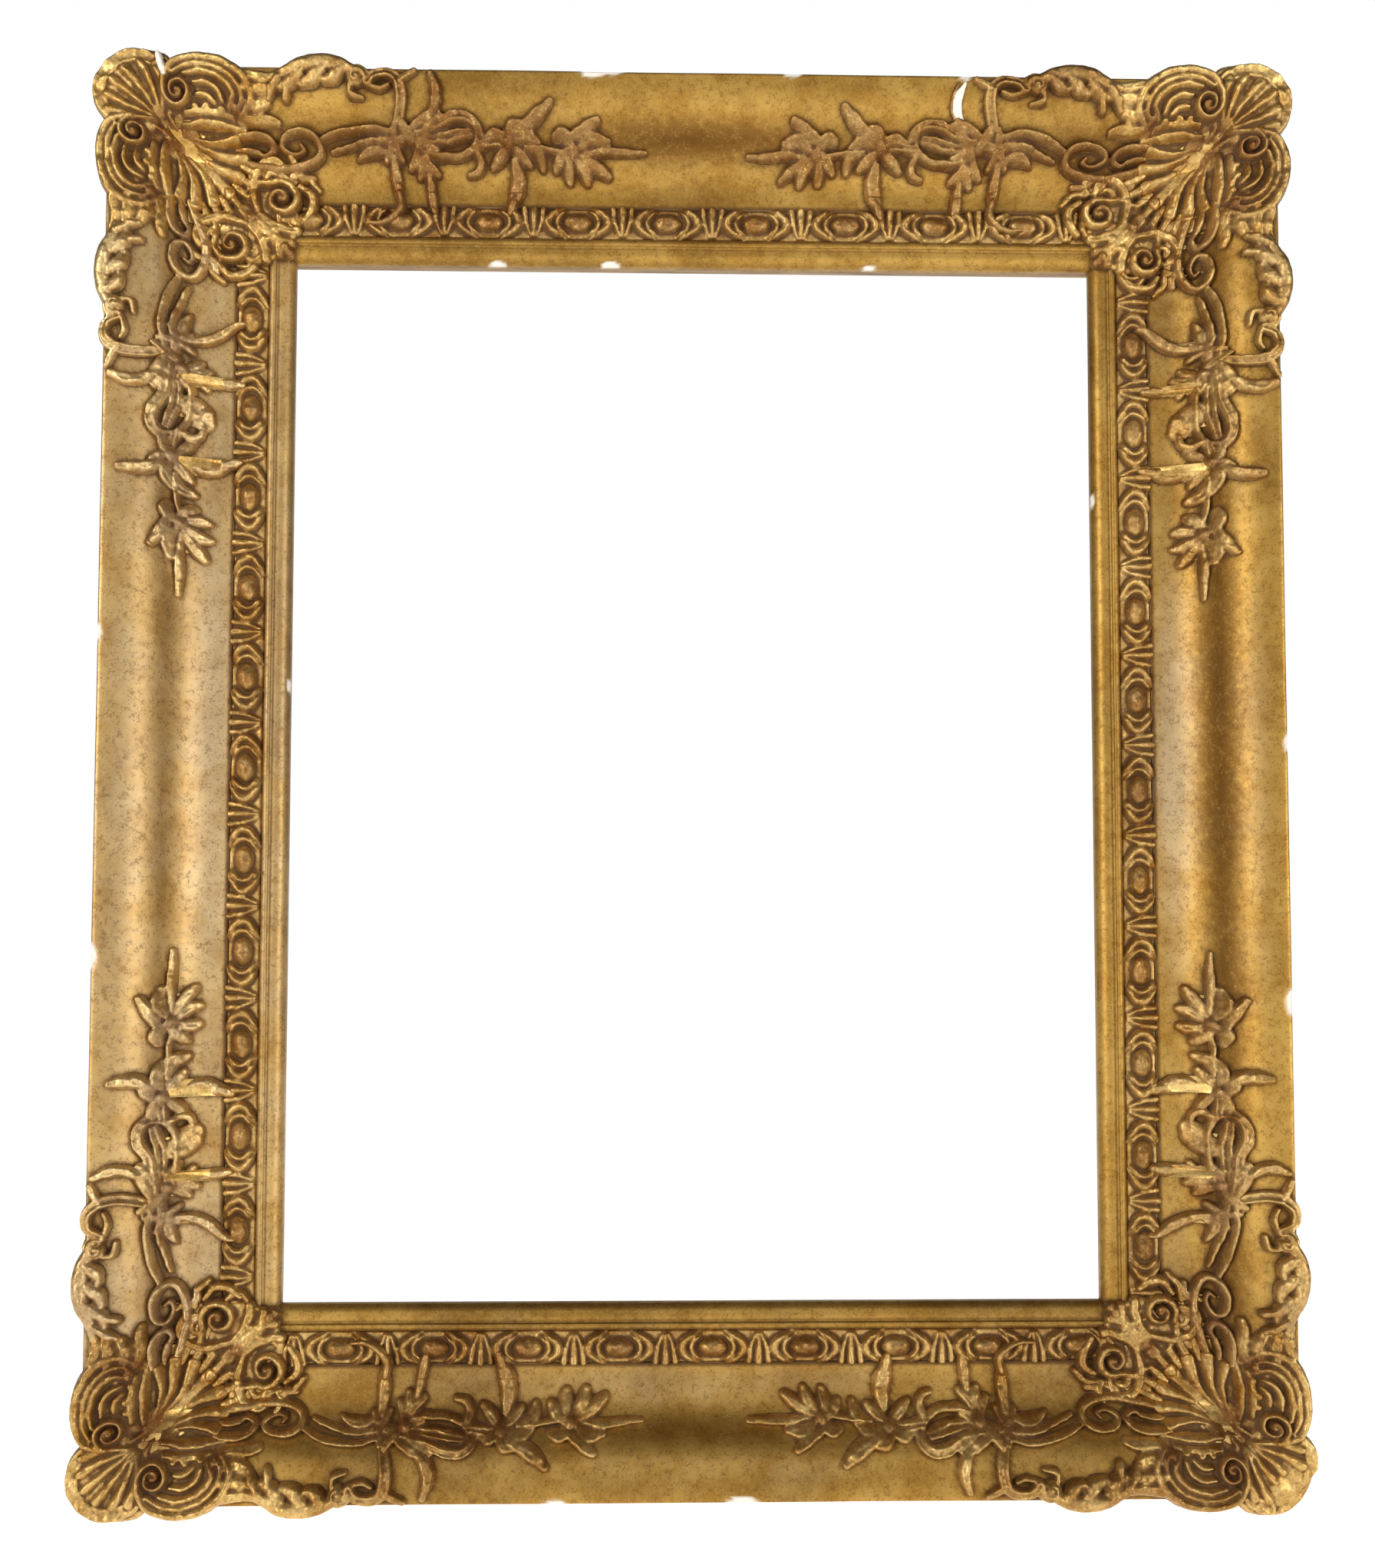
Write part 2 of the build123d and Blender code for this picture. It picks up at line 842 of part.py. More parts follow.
# Hanging rings, each a D of wire whose straight bar runs through the barrel
ring_corner_share = [(0, 0.5), (0.45, 0.5), (0.8, 0.36), (1, 0.13)]
for right, name in ((-1, "hanging_ring_left"), (1, "hanging_ring_right")):
    bar = Vector(right * (half_width + barrel_out), barrel_radius, hanger_up)
    upper = [
        bar + Vector(-right * ring_length * across, 0, ring_width * up)
        for across, up in ring_corner_share
    ]
    lower = [
        bar + Vector(-right * ring_length * across, 0, -ring_width * up)
        for across, up in reversed(ring_corner_share)
    ]
    with BuildPart() as ring:
        with BuildLine():
            Polyline(bar, *upper, *lower, close=True)
        with BuildSketch(Plane(origin=bar, x_dir=(1, 0, 0), z_dir=(0, 0, 1))):
            RegularPolygon(wire_radius, wire_sides)
        sweep(transition=Transition.RIGHT)
    write(ring.part, name)

# Turn buttons, parked along the rails, each loose on its screw
for name, place in button_places.items():
    with BuildPart() as button:
        with BuildSketch(
            Plane(origin=(place[0], button_gap, place[1]), x_dir=(-1, 0, 0), z_dir=back)
        ):
            with Locations((0, button_length / 2 - button_tail)):
                Rectangle(button_width, button_length)
        extrude(amount=button_thickness)
        chamfer(button.edges().filter_by(Axis.Y), button_width * 0.3)
        with BuildSketch(
            Plane(origin=(place[0], button_gap, place[1]), x_dir=(-1, 0, 0), z_dir=back)
        ):
            RegularPolygon(
                button_screw_radius + button_screw_clearance, button_sides, major_radius=False
            )
        extrude(amount=button_thickness, mode=Mode.SUBTRACT)
    write(button.part, f"turn_button_{name}")
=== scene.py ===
from math import atan, cos, pi, radians, sin

import bmesh
import bpy
import numpy as np
from mathutils import Matrix, Vector


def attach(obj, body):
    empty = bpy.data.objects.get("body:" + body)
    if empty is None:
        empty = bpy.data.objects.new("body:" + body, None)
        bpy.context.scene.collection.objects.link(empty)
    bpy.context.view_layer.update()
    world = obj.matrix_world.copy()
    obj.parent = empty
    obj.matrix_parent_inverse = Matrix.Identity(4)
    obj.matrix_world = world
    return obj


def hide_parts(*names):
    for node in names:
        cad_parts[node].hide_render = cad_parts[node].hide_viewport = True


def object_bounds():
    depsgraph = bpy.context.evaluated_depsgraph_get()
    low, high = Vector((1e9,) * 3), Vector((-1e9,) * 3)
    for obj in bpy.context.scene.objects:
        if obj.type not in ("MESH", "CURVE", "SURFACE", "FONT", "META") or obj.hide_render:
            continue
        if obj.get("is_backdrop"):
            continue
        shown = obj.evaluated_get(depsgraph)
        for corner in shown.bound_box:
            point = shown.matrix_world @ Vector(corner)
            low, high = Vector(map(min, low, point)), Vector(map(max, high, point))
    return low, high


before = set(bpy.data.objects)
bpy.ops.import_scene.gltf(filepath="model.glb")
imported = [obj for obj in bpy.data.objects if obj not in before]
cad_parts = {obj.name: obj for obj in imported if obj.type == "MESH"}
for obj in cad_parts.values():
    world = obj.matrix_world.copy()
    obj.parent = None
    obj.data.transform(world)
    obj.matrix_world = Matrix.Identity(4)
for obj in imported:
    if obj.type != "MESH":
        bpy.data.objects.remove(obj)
cad_low, cad_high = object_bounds()

# The rails' sizes in millimetres: outs from the sight edge, and heights forward from the back
MM = 0.001
HALF_WIDTH, HALF_HEIGHT = 272.5, 350.5
RAIL_WIDTH, CREST, FOOT_OUT, FOOT = 117.0, 83.0, 38.0, 42.0
EDGE, UNDERCUT, SIDE = 5.0, 12.0, 32.0
LIP, REBATE, LIP_HEIGHT, HOLLOW_OUT, HOLLOW_HEIGHT = 7.0, 28.0, 34.0, 10.5, 40.0
QUIRK, SLIP_OUT, SLIP_HEIGHT, BED = 1.5, 16.0, 43.0, 38.0
STRIP_THICKNESS, EGG_PITCH = 2.0, 61.0
# Where the first egg of each side lies, from the side's middle
EGG_SHIFT = {"top": -18.8, "bottom": 12.0, "left": 4.0, "right": -9.0}
# Each side: which way it lies across and up, how far its sight edge is from the middle, and half its run
SIDES = {
    "top": (0, 1, HALF_HEIGHT, HALF_WIDTH),
    "right": (1, 0, HALF_WIDTH, HALF_HEIGHT),
    "bottom": (0, -1, HALF_HEIGHT, HALF_WIDTH),
    "left": (-1, 0, HALF_WIDTH, HALF_HEIGHT),
}
# The ogee face is two equal arcs that meet halfway
OGEE_OUT, OGEE_RISE = RAIL_WIDTH - FOOT_OUT, CREST - FOOT
OGEE_ANGLE = 2 * atan(OGEE_RISE / OGEE_OUT)
OGEE_RADIUS = OGEE_OUT / (2 * sin(OGEE_ANGLE))


def face_height(out):
    """Height of the ogee face over the back, at distances out from the sight edge."""
    out = np.clip(out, 0, RAIL_WIDTH)
    inner = np.clip(out - FOOT_OUT, 0, OGEE_OUT / 2)
    outer = np.clip(RAIL_WIDTH - out, 0, OGEE_OUT / 2)
    low = FOOT + OGEE_RADIUS - np.sqrt(OGEE_RADIUS**2 - inner**2)
    high = CREST - OGEE_RADIUS + np.sqrt(OGEE_RADIUS**2 - outer**2)
    return np.where(out < FOOT_OUT + OGEE_OUT / 2, low, high)


# Shader helpers


class Socket:
    """A shader value that can be added, multiplied and so on."""

    def __init__(self, paint, link):
        self.paint = paint
        self.link = link

    def _math(self, operation, *values, **settings):
        return self.paint.node("ShaderNodeMath", {"operation": operation, **settings}, values)

    def __add__(self, other):
        return self._math("ADD", self, other)

    def __radd__(self, other):
        return self._math("ADD", other, self)

    def __sub__(self, other):
        return self._math("SUBTRACT", self, other)

    def __rsub__(self, other):
        return self._math("SUBTRACT", other, self)

    def __mul__(self, other):
        return self._math("MULTIPLY", self, other)

    def __rmul__(self, other):
        return self._math("MULTIPLY", other, self)

    def clamp(self):
        return self._math("ADD", self, 0.0, use_clamp=True)

    def smooth(self, low, high):
        """0 below low and 1 above high, with a soft change between."""
        values = {"Value": self, "From Min": low, "From Max": high}
        settings = {"interpolation_type": "SMOOTHSTEP", "clamp": True}
        return self.paint.node("ShaderNodeMapRange", settings, values)


class Paint:
    """One material and its nodes."""

    def __init__(self, name):
        self.material = bpy.data.materials.new(name)
        self.material.use_nodes = True
        self.tree = self.material.node_tree
        self.tree.nodes.clear()
        self.shader = self.tree.nodes.new("ShaderNodeBsdfPrincipled")
        out = self.tree.nodes.new("ShaderNodeOutputMaterial")
        self.tree.links.new(self.shader.outputs[0], out.inputs["Surface"])

    def node(self, kind, settings=None, values=(), output=0):
        made = self.tree.nodes.new(kind)
        for key, value in (settings or {}).items():
            setattr(made, key, value)
        pairs = values.items() if isinstance(values, dict) else enumerate(values)
        for key, value in pairs:
            self.feed(made.inputs[key], value)
        return Socket(self, made.outputs[output])

    def feed(self, socket, value):
        if isinstance(value, Socket):
            self.tree.links.new(value.link, socket)
        elif isinstance(value, (tuple, list)) and socket.type == "RGBA" and len(value) == 3:
            socket.default_value = (*value, 1)
        else:
            socket.default_value = value

    def set(self, **values):
        for key, value in values.items():
            self.feed(self.shader.inputs[key.replace("_", " ")], value)

    def mix(self, share, first, second):
        settings = {"data_type": "RGBA", "clamp_factor": True}
        return self.node("ShaderNodeMix", settings, {0: share, 6: first, 7: second}, output=2)

    def place(self):
        """Places on the piece, in metres."""
        return self.node("ShaderNodeTexCoord", output=3)

    def noise(self, place, scale, detail=4.0, roughness=0.55, distortion=0.0):
        values = {"Vector": place, "Scale": scale, "Detail": detail, "Roughness": roughness}
        values["Distortion"] = distortion
        return self.node("ShaderNodeTexNoise", None, values)

    def mark(self, name):
        """A value that the mesh carries at its points."""
        settings = {"attribute_name": name, "attribute_type": "GEOMETRY"}
        return self.node("ShaderNodeAttribute", settings, output=2)

    def bump(self, height, strength, distance, normal=None):
        values = {"Height": height, "Strength": strength, "Distance": distance}
        if normal is not None:
            values["Normal"] = normal
        return self.node("ShaderNodeBump", None, values)


# Gilding: how many clouds, patches, flecks and grains of the leaf's mottling go to a metre
CLOUDS, PATCHES, FLECKS, GRAINS = 9, 38, 210, 760
# The pale colour is dust together with a painted sheen; the grey is dust in hollows
PALE_DUST_AND_SHEEN, GREY_DUST = (0.72, 0.55, 0.33), (0.34, 0.28, 0.18)
RED_BOLE, GESSO = (0.40, 0.13, 0.04), (0.82, 0.76, 0.66)


def gilding(name, tones, clay, dirt_and_shade_tone, worn, gloss):
    """Old leaf over clay: mottled, with dirt and painted shade in hollows, brown clay and painted shade
    where marked, pale dust and painted sheen, painted highlights on ridges, red or white where it is rubbed.
    """
    paint = Paint(name)
    place = paint.place()
    dark, middle, light = tones
    cloud = paint.noise(place, CLOUDS, 4, 0.6)
    patch = paint.noise(place, PATCHES, 5, 0.65, 0.4)
    fleck = paint.noise(place, FLECKS, 5, 0.7)
    grain = paint.noise(place, GRAINS, 3, 0.7)
    hollow, ridge, chip = paint.mark("hollow"), paint.mark("ridge"), paint.mark("chip")
    brown, dust_and_sheen = paint.mark("brown"), paint.mark("dust_and_sheen")
    leaf = paint.mix(patch.smooth(0.30, 0.68), middle, light)
    leaf = paint.mix(cloud.smooth(0.40, 0.70) * 0.6, leaf, dark)
    # Brown clay and painted shade where the brown mark lies
    shade = (brown * (0.55 + cloud * 0.45 + patch * 0.35)).clamp()
    leaf = paint.mix(shade * 0.85, leaf, clay)
    # Pale dust and painted sheen where the mark lies
    pale_dust_and_sheen = (dust_and_sheen * (cloud * 0.7 + patch * 0.9)).smooth(0.15, 0.95)
    leaf = paint.mix(pale_dust_and_sheen * 0.8, leaf, PALE_DUST_AND_SHEEN)
    speckle = fleck * 0.5 + grain * 0.5
    leaf = paint.mix(speckle.smooth(0.50, 0.60) * 0.55, leaf, dark)
    leaf = paint.mix((1 - speckle).smooth(0.52, 0.64) * 0.55, leaf, light)
    # Painted highlight: lighter leaf on ridges
    high = (ridge * 0.9 + fleck * 0.5 + patch * 0.3).smooth(0.75, 1.5)
    leaf = paint.mix(high * 0.35 * (1 - brown * 0.8), leaf, light)
    rubbed = (ridge * 0.7 + fleck * 0.5 + cloud * 0.6).smooth(1.15, 1.6) * worn
    color = paint.mix(rubbed, leaf, RED_BOLE)
    # Dirt and painted shade: darker in hollows and beside the ornament
    dirt_and_shade = (hollow * 1.15 + fleck * 0.3 + patch * 0.25 - 0.27).smooth(0.0, 0.85)
    color = paint.mix(dirt_and_shade * 0.88, color, dirt_and_shade_tone)
    dust = (hollow * 0.8 + grain * 0.5 + cloud * 0.5).smooth(0.95, 1.5)
    color = paint.mix(dust * 0.12, color, GREY_DUST)
    color = paint.mix(chip, color, GESSO)
    metal = (1 - dirt_and_shade * 0.55) * (1 - chip) * (1 - rubbed * 0.4) * (0.95 - dust * 0.25)
    rough = gloss + fleck * 0.20 + patch * 0.10 + dirt_and_shade * 0.25 + chip * 0.4 + shade * 0.12
    normal = paint.bump(patch, 0.22, 0.0015)
    normal = paint.bump(fleck, 0.30, 0.0004, normal)
    normal = paint.bump(grain, 0.25, 0.00012, normal)
    coat = (0.07 + pale_dust_and_sheen * 0.35) * (1 - chip) * (1 - dirt_and_shade)
    paint.set(Base_Color=color, Metallic=metal, Roughness=rough, Normal=normal, Coat_Weight=coat)
    paint.set(Coat_Roughness=0.35, Specular_IOR_Level=0.2)
    return paint.material


rail_gilt = gilding(
    "rail_gilt",
    ((0.17, 0.080, 0.013), (0.38, 0.198, 0.034), (0.52, 0.315, 0.075)),
    (0.15, 0.060, 0.011),
    (0.11, 0.048, 0.012),
    0.35,
    0.32,
)
ornament_gilt = gilding(
    "ornament_gilt",
    ((0.21, 0.092, 0.018), (0.44, 0.235, 0.046), (0.84, 0.59, 0.22)),
    (0.17, 0.058, 0.018),
    (0.10, 0.040, 0.014),
    0.6,
    0.28,
)


def plain_wood(name, color, stretch):
    """Old softwood; stretch is small along the grain."""
    paint = Paint(name)
    place = paint.place()
    stretched = paint.node("ShaderNodeMapping", None, {"Vector": place, "Scale": stretch})
    grain = paint.noise(stretched, 160, 6, 0.6, 1.0)
    broad = paint.noise(place, 18, 4)
    tone = paint.mix(grain.smooth(0.35, 0.7), color, tuple(c * 0.55 for c in color))
    tone = paint.mix(broad.smooth(0.4, 0.7) * 0.5, tone, (0.16, 0.10, 0.05))
    paint.set(Base_Color=tone, Roughness=0.75 + grain * 0.1, Normal=paint.bump(grain, 0.3, 0.0003))
    return paint.material


SOFTWOOD, HARDWOOD = (0.42, 0.29, 0.16), (0.30, 0.18, 0.09)
bare_wood = plain_wood("bare_wood", SOFTWOOD, (0.06, 1, 1))
key_wood = plain_wood("key_wood", HARDWOOD, (0.2, 1, 0.2))
upright_wood = plain_wood("upright_wood", SOFTWOOD, (1, 1, 0.06))


def steel(name, color):
    """Plated steel gone dull in spots."""
    paint = Paint(name)
    place = paint.place()
    dull = paint.noise(place, 300, 5)
    tone = paint.mix(dull.smooth(0.4, 0.7), color, tuple(c * 0.6 for c in color))
    paint.set(Base_Color=tone, Metallic=1.0, Roughness=0.32 + dull * 0.25)
    return paint.material


zinc = steel("zinc", (0.62, 0.60, 0.55))

# Carved ornament
# Each casting is drawn in millimetres in its corner's own directions: p runs out from the sight
# corner along the side, q runs out from the sight edge, and heights are over the rail's surface.


def smooth_line(points, step=0.5):
    """Places along a smooth line through points, evenly spaced, with their share of the way."""
    points = np.asarray(points, float)
    if len(points) == 2:
        points = np.array([points[0], points.mean(0), points[1]])
    ends = np.vstack([2 * points[0] - points[1], points, 2 * points[-1] - points[-2]])
    run = []
    for a, b, c, d in zip(ends, ends[1:], ends[2:], ends[3:]):
        t = np.linspace(0, 1, 24, endpoint=False)[:, None]
        square, cube = 2 * a - 5 * b + 4 * c - d, 3 * b - a - 3 * c + d
        run.append(0.5 * (2 * b + (c - a) * t + square * t**2 + cube * t**3))
    run = np.vstack(run + [points[-1:]])
    gone = np.concatenate([[0], np.cumsum(np.hypot(*np.diff(run, axis=0).T))])
    count = max(int(gone[-1] / step), 3)
    even = np.linspace(0, gone[-1], count + 1)
    return np.stack([np.interp(even, gone, run[:, k]) for k in (0, 1)], 1), even / gone[-1]


def along_share(values, share):
    """Values spread evenly over a line, read at shares of its way."""
    values = np.atleast_1d(np.asarray(values, float))
    return np.interp(share, np.linspace(0, 1, len(values)), values)


# Across a strand, from -1 at one edge to 1 at the other: the share of its height
SECTIONS = {
    "round": lambda x: np.sqrt(np.clip(1 - x * x, 0, 1)),
    "flat": lambda x: 1 + 0 * x,
    "dish": lambda x: 0.8 + 0.2 * np.abs(x) ** 2.2,
    "leaf": lambda x: np.sqrt(np.clip(1 - x * x, 0, 1)) - 0.12 * np.exp(-((x / 0.3) ** 2)),
    "twin": lambda x: 0.35 + 0.65 * np.sqrt(np.clip(1 - (2 * np.abs(x) - 1) ** 2, 0, 1)),
    "gutter": lambda x: np.where(x > 0.15, 1 - 0.9 * (x - 0.6) ** 2, 0.62 + 0.3 * np.abs(x + 0.35)),
}

# Height where nothing is carved, the least half width that is reckoned with, how far in a volute winds,
# and the height of the lumps that gesso keeps
NOTHING, LEAST, VOLUTE_CORE = -9.0, 0.3, 0.12
BROAD_LUMPS, SMALL_LUMPS = 0.5, 0.16


def blurred(field, times):
    """A field softened by that many passes over each place and its four neighbours."""
    for _ in range(times):
        padded = np.pad(field, 1, mode="edge")
        beside = padded[:-2, 1:-1] + padded[2:, 1:-1] + padded[1:-1, :-2] + padded[1:-1, 2:]
        field = (beside + 2 * field) / 6
    return field


def polar(middle, radius, degrees):
    """The place at a distance and an angle from a middle."""
    angle = radians(degrees)
    return middle[0] + radius * cos(angle), middle[1] + radius * sin(angle)


class Carving:
    """Heights over the rail on a fine grid, built up motif by motif."""

    def __init__(self, p_range, q_range, cell):
        self.p = np.arange(p_range[0], p_range[1] + cell, cell)
        self.q = np.arange(q_range[0], q_range[1] + cell, cell)
        self.height = np.full((len(self.p), len(self.q)), NOTHING)
        self.chip = np.zeros_like(self.height)
        self.brown = np.zeros_like(self.height)

    def window(self, low, high):
        """The rows and columns of the grid between two places."""
        i, j = np.searchsorted(self.p, (low[0], high[0]))
        k, m = np.searchsorted(self.q, (low[1], high[1]))
        return slice(i, j), slice(k, m)

    def grid(self, window):
        """The p and q of each place in a window."""
        return np.meshgrid(self.p[window[0]], self.q[window[1]], indexing="ij")

    def near(self, place, reach):
        """The window round a place, and how far from it each of the window's places lies."""
        p, q = place
        window = self.window((p - reach, q - reach), (p + reach, q + reach))
        P, Q = self.grid(window)
        return window, np.hypot(P - p, Q - q)

    def lay(self, window, inside, height, chip=0.0):
        """Lays a motif over what is there; its edge drops steeply."""
        height = np.where(inside > 0, height, 6 * inside)
        before = self.height[window]
        if chip:
            self.chip[window] = np.where((height > before) & (inside > 0), chip, self.chip[window])
        self.height[window] = np.maximum(before, height)

    def strand(self, points, widths, heights, section="round", lift=0.0, chip=0.0, curl=1.4):
        """A band, leaf or tendril along a line; widths are half widths."""
        line, share = smooth_line(points)
        half = along_share(widths, share)
        tall = along_share(heights, share)
        reach = half.max() + 2
        window = self.window(line.min(0) - reach, line.max(0) + reach)
        P, Q = self.grid(window)
        if P.size == 0:
            return
        run = np.gradient(line, axis=0)
        run /= np.maximum(np.hypot(*run.T), 1e-6)[:, None]
        best = np.full(P.shape, 1e9)
        side = np.zeros(P.shape)
        wide = np.ones(P.shape)
        high = np.zeros(P.shape)
        for (a, b), (u, v), w, h in zip(line, run, half, tall):
            dp, dq = P - a, Q - b
            far = np.hypot(dp, dq)
            score = far / max(w, LEAST)
            nearer = score < best
            best = np.where(nearer, score, best)
            side = np.where(nearer, (dq * u - dp * v), side)
            wide = np.where(nearer, w, wide)
            high = np.where(nearer, h, high)
        away = best * np.maximum(wide, LEAST)
        inside = wide - away
        x = np.clip(side / np.maximum(wide, LEAST), -1, 1)
        soft = np.minimum(curl, 0.6 * np.maximum(wide, LEAST))
        edge = np.sqrt(np.clip(1 - (1 - np.clip(inside / soft, 0, 1)) ** 2, 0, 1))
        body = high * SECTIONS[section](x)
        if section == "round":
            rise = body * 0.75 + high * 0.25 * edge
        else:
            rise = 0.3 * high + (body - 0.3 * high) * edge
        self.lay(window, inside, lift + rise, chip)

    def leaf(self, points, widths, heights, lift, curl=2.4):
        """A strand with a leaf's rounded edges and faint vein."""
        self.strand(points, widths, heights, "leaf", lift, curl=curl)

    def knob(self, place, radius, height, lift=0.0):
        """A round boss."""
        window, away = self.near(place, radius + 2)
        rise = height * np.sqrt(np.clip(1 - (away / (radius * 1.04)) ** 2, 0, 1))
        self.lay(window, radius - away, lift + rise)

    def stain(self, place, radius, share):
        """Brown bole that shows round a place."""
        window, away = self.near(place, radius)
        fade = np.clip(1.4 - 1.4 * away / radius, 0, 1) * share
        self.brown[window] = np.maximum(self.brown[window], fade)

    def bed(self, outline, height):
        """A low field inside an outline, which joins the motifs above it."""
        line, _ = smooth_line(list(outline) + [outline[0]], 1.0)
        window = self.window(line.min(0) - 2, line.max(0) + 2)
        P, Q = self.grid(window)
        crossings = np.zeros(P.shape, int)
        away = np.full(P.shape, 1e9)
        for (a, b), (c, d) in zip(line, line[1:]):
            away = np.minimum(away, np.hypot(P - a, Q - b))
            if b != d:
                crossings += ((Q > b) != (Q > d)) & (P < a + (Q - b) * (c - a) / (d - b))
        inside = np.where(crossings % 2 == 1, away, -away)
        self.lay(window, inside, height * np.clip(inside / 1.5, 0, 1) ** 0.5)

    def scroll(self, eye, radius, leave, turns, hand, tail, widths, heights, section, lift, knob):
        """A volute that leaves its eye at an angle and runs on along a tail."""
        steps = int(14 * turns) + 2
        points = []
        for k in range(steps):
            t = k / (steps - 1)
            angle = radians(leave) - hand * 2 * pi * turns * (1 - t)
            r = radius * (VOLUTE_CORE + (1 - VOLUTE_CORE) * t ** 0.85)
            points.append((eye[0] + r * cos(angle), eye[1] + r * sin(angle)))
        self.strand(points + list(tail), widths, heights, section, lift)
        self.knob(eye, knob, heights[0] + 1.2, lift)

    def finish(self):
        """Softens the tool marks and leaves the surface a little lumpy, as old gesso does."""
        base = np.maximum(self.height, -1.6)
        draw = np.random.default_rng(len(self.p))
        broad = blurred(draw.standard_normal(base.shape), 36)
        small = blurred(draw.standard_normal(base.shape), 7)
        lumps = broad / broad.std() * BROAD_LUMPS + small / small.std() * SMALL_LUMPS
        self.height = blurred(base, 2) + lumps * np.clip(base / 3, 0, 1)
        return self


def mirrored(points):
    """The same line on the other side of the mitre."""
    return [(q, p) for p, q in points]


# Middles of the shell's rim, of its ribs and of the inner fan
RIM_MIDDLE, RIB_MIDDLE, FAN_MIDDLE = (98.0, 98.0), (82.0, 82.0), (75.0, 75.0)
RIM_RADIUS = 23.2


def shell_casting(cell, state):
    """The corner's shell, fan, paired scrolls and their cheeks; one is broken and one is chipped."""
    broken = state == "broken"
    work = Carving((2, 130), (2, 130), cell)
    outline = [(74, 117), (80, 124), (94, 126.5), (108, 124.5), (118, 116), (123, 104), (122, 90), (117, 80)]
    outline += [(117, 62), (112, 40), (104, 26), (92, 24), (84, 34), (76, 31), (60, 33), (46, 42), (42, 46)]
    outline += [(33, 60), (31, 76), (34, 84), (24, 92), (26, 104), (40, 112), (62, 117)]
    work.bed(outline, 3.0)
    # Outer shell: a broad rim, and ribs out from the knot
    rim = [polar(RIM_MIDDLE, RIM_RADIUS, 142 - k * 184 / 12) for k in range(13)]
    if broken:
        rim = rim[:4]
        stump = [(118, 104), (121.5, 95), (120.5, 86), (116.5, 80)]
        work.strand(stump, [2.0, 4.4, 4.6, 4.2], [6.5, 7.5, 7.6, 7.0], "dish", 0.3)
    work.strand(rim, [4.4, 4.7, 4.7, 4.4], [7.2, 8.2, 8.2, 7.2], "dish", 0.3)
    if state == "chipped":
        flaw = [(79, 108), (81, 115), (83, 121)]
        work.strand(flaw, [1.6, 2.8, 2.4], [9.6, 9.8, 9.0], "round", 0.4, chip=1)
    work.knob((97, 97), 23.5, 3.2, 3.2)
    focus = np.array(RIB_MIDDLE)
    for k in range(6):
        way = np.array(polar((0, 0), 1, 4 + k * 82 / 5))
        reach = 31.5 + 5.5 * sin(pi * k / 5)
        bend = np.array((-way[1], way[0])) * (k - 2.5) * 1.1
        if broken and k in (2, 3):
            reach *= 0.7
        rib = [focus + way * 4, focus + way * reach * 0.6 + bend, focus + way * reach]
        work.strand(rib, [1.6, 2.7, 3.9], [7.5, 9.2, 8.8], "round", 0.6)
    for turned, leave in ((list, 10), (mirrored, 80)):
        # Ribs that run round inside the C-scroll
        for line, w, tall in (
            ([(66, 109.5), (57, 111.5), (48, 110), (39.5, 105), (35, 97.5), (38, 90)], 2.9, 8.4),
            ([(60, 104.5), (52, 104.5), (45, 100), (42.5, 94)], 2.5, 7.6),
            ([(58, 97.5), (52, 97), (48, 93.5)], 2.6, 7.0),
        ):
            heights = [tall * 0.85, tall, tall, tall * 0.8]
            work.strand(turned(line), [w * 0.7, w, w, w, w * 0.8], heights, "round", 0.8)
        for (p, q), r in (((53, 90.5), 2.8), ((43.5, 88), 3.0), ((34, 89), 3.0), ((60, 90.5), 2.4)):
            work.knob(*turned([(p, q)]), r, 3.8, 4.2)
        # The C-scroll: two rolls side by side that wind into the volute
        outer = [(79.2, 107), (74.5, 115), (65, 119.6), (53, 120.4), (41, 117.8), (31, 111.6), (25, 103.2)]
        outer += [(24.3, 94), (29, 87)]
        widths = [1.5, 1.9, 2.2, 2.4, 3.0, 3.6, 3.8, 3.4, 2.6]
        heights = [9.5, 10, 10.4, 10.8, 11, 10.8, 10, 8.5, 6.5]
        eye = turned([(70.8, 98.8)])[0]
        work.scroll(eye, 9.4, leave, 1.7, 1, turned(outer), widths, heights, "round", 0.6, 3.1)
        inner = [(74, 110), (68, 113.8), (60, 115.6), (51, 115.4), (42.5, 112.6), (35, 107.2), (30.5, 100)]
        inner += [(30, 93), (33, 88)]
        widths = [1.6, 2.6, 2.9, 2.9, 2.8, 2.6, 2.4, 2.0]
        work.strand(turned(inner), widths, [8.8, 9.6, 9.6, 9.4, 9.0, 8.6, 8.0, 7.0], "round", 0.4)
        # Leaves that leave the scroll's foot towards the side
        cheek = [(32, 112), (22, 111), (13, 108), (10, 100), (14, 90), (20, 83), (34, 80), (34, 96)]
        work.bed(turned(cheek), 4.0)
        for line, w, tall in (
            ([(33, 112), (24, 110), (15, 109), (7, 111)], 4.8, 7.4),
            ([(28, 102), (19, 101.5), (11, 103)], 5.0, 7.2),
            ([(29, 93), (21, 91.5), (14, 94)], 4.8, 6.6),
            ([(30, 85), (22, 83), (13, 84), (7, 83)], 4.2, 6.0),
            ([(66, 87), (55, 87.6), (46, 87.4), (38, 85.4)], 3.2, 7.6),
        ):
            heights = [tall, tall, tall * 0.95, tall * 0.7]
            work.leaf(turned(line), [w * 0.8, w, w, w * 0.7], heights, 0.5)
        fold = turned([(68, 80.5), (54, 81.4), (42, 80.2), (30, 78)])
        work.strand(fold, [2.6, 3.4, 3.2, 2.2], [7.4, 7.2, 6.4, 5.4], "round", 0.4)
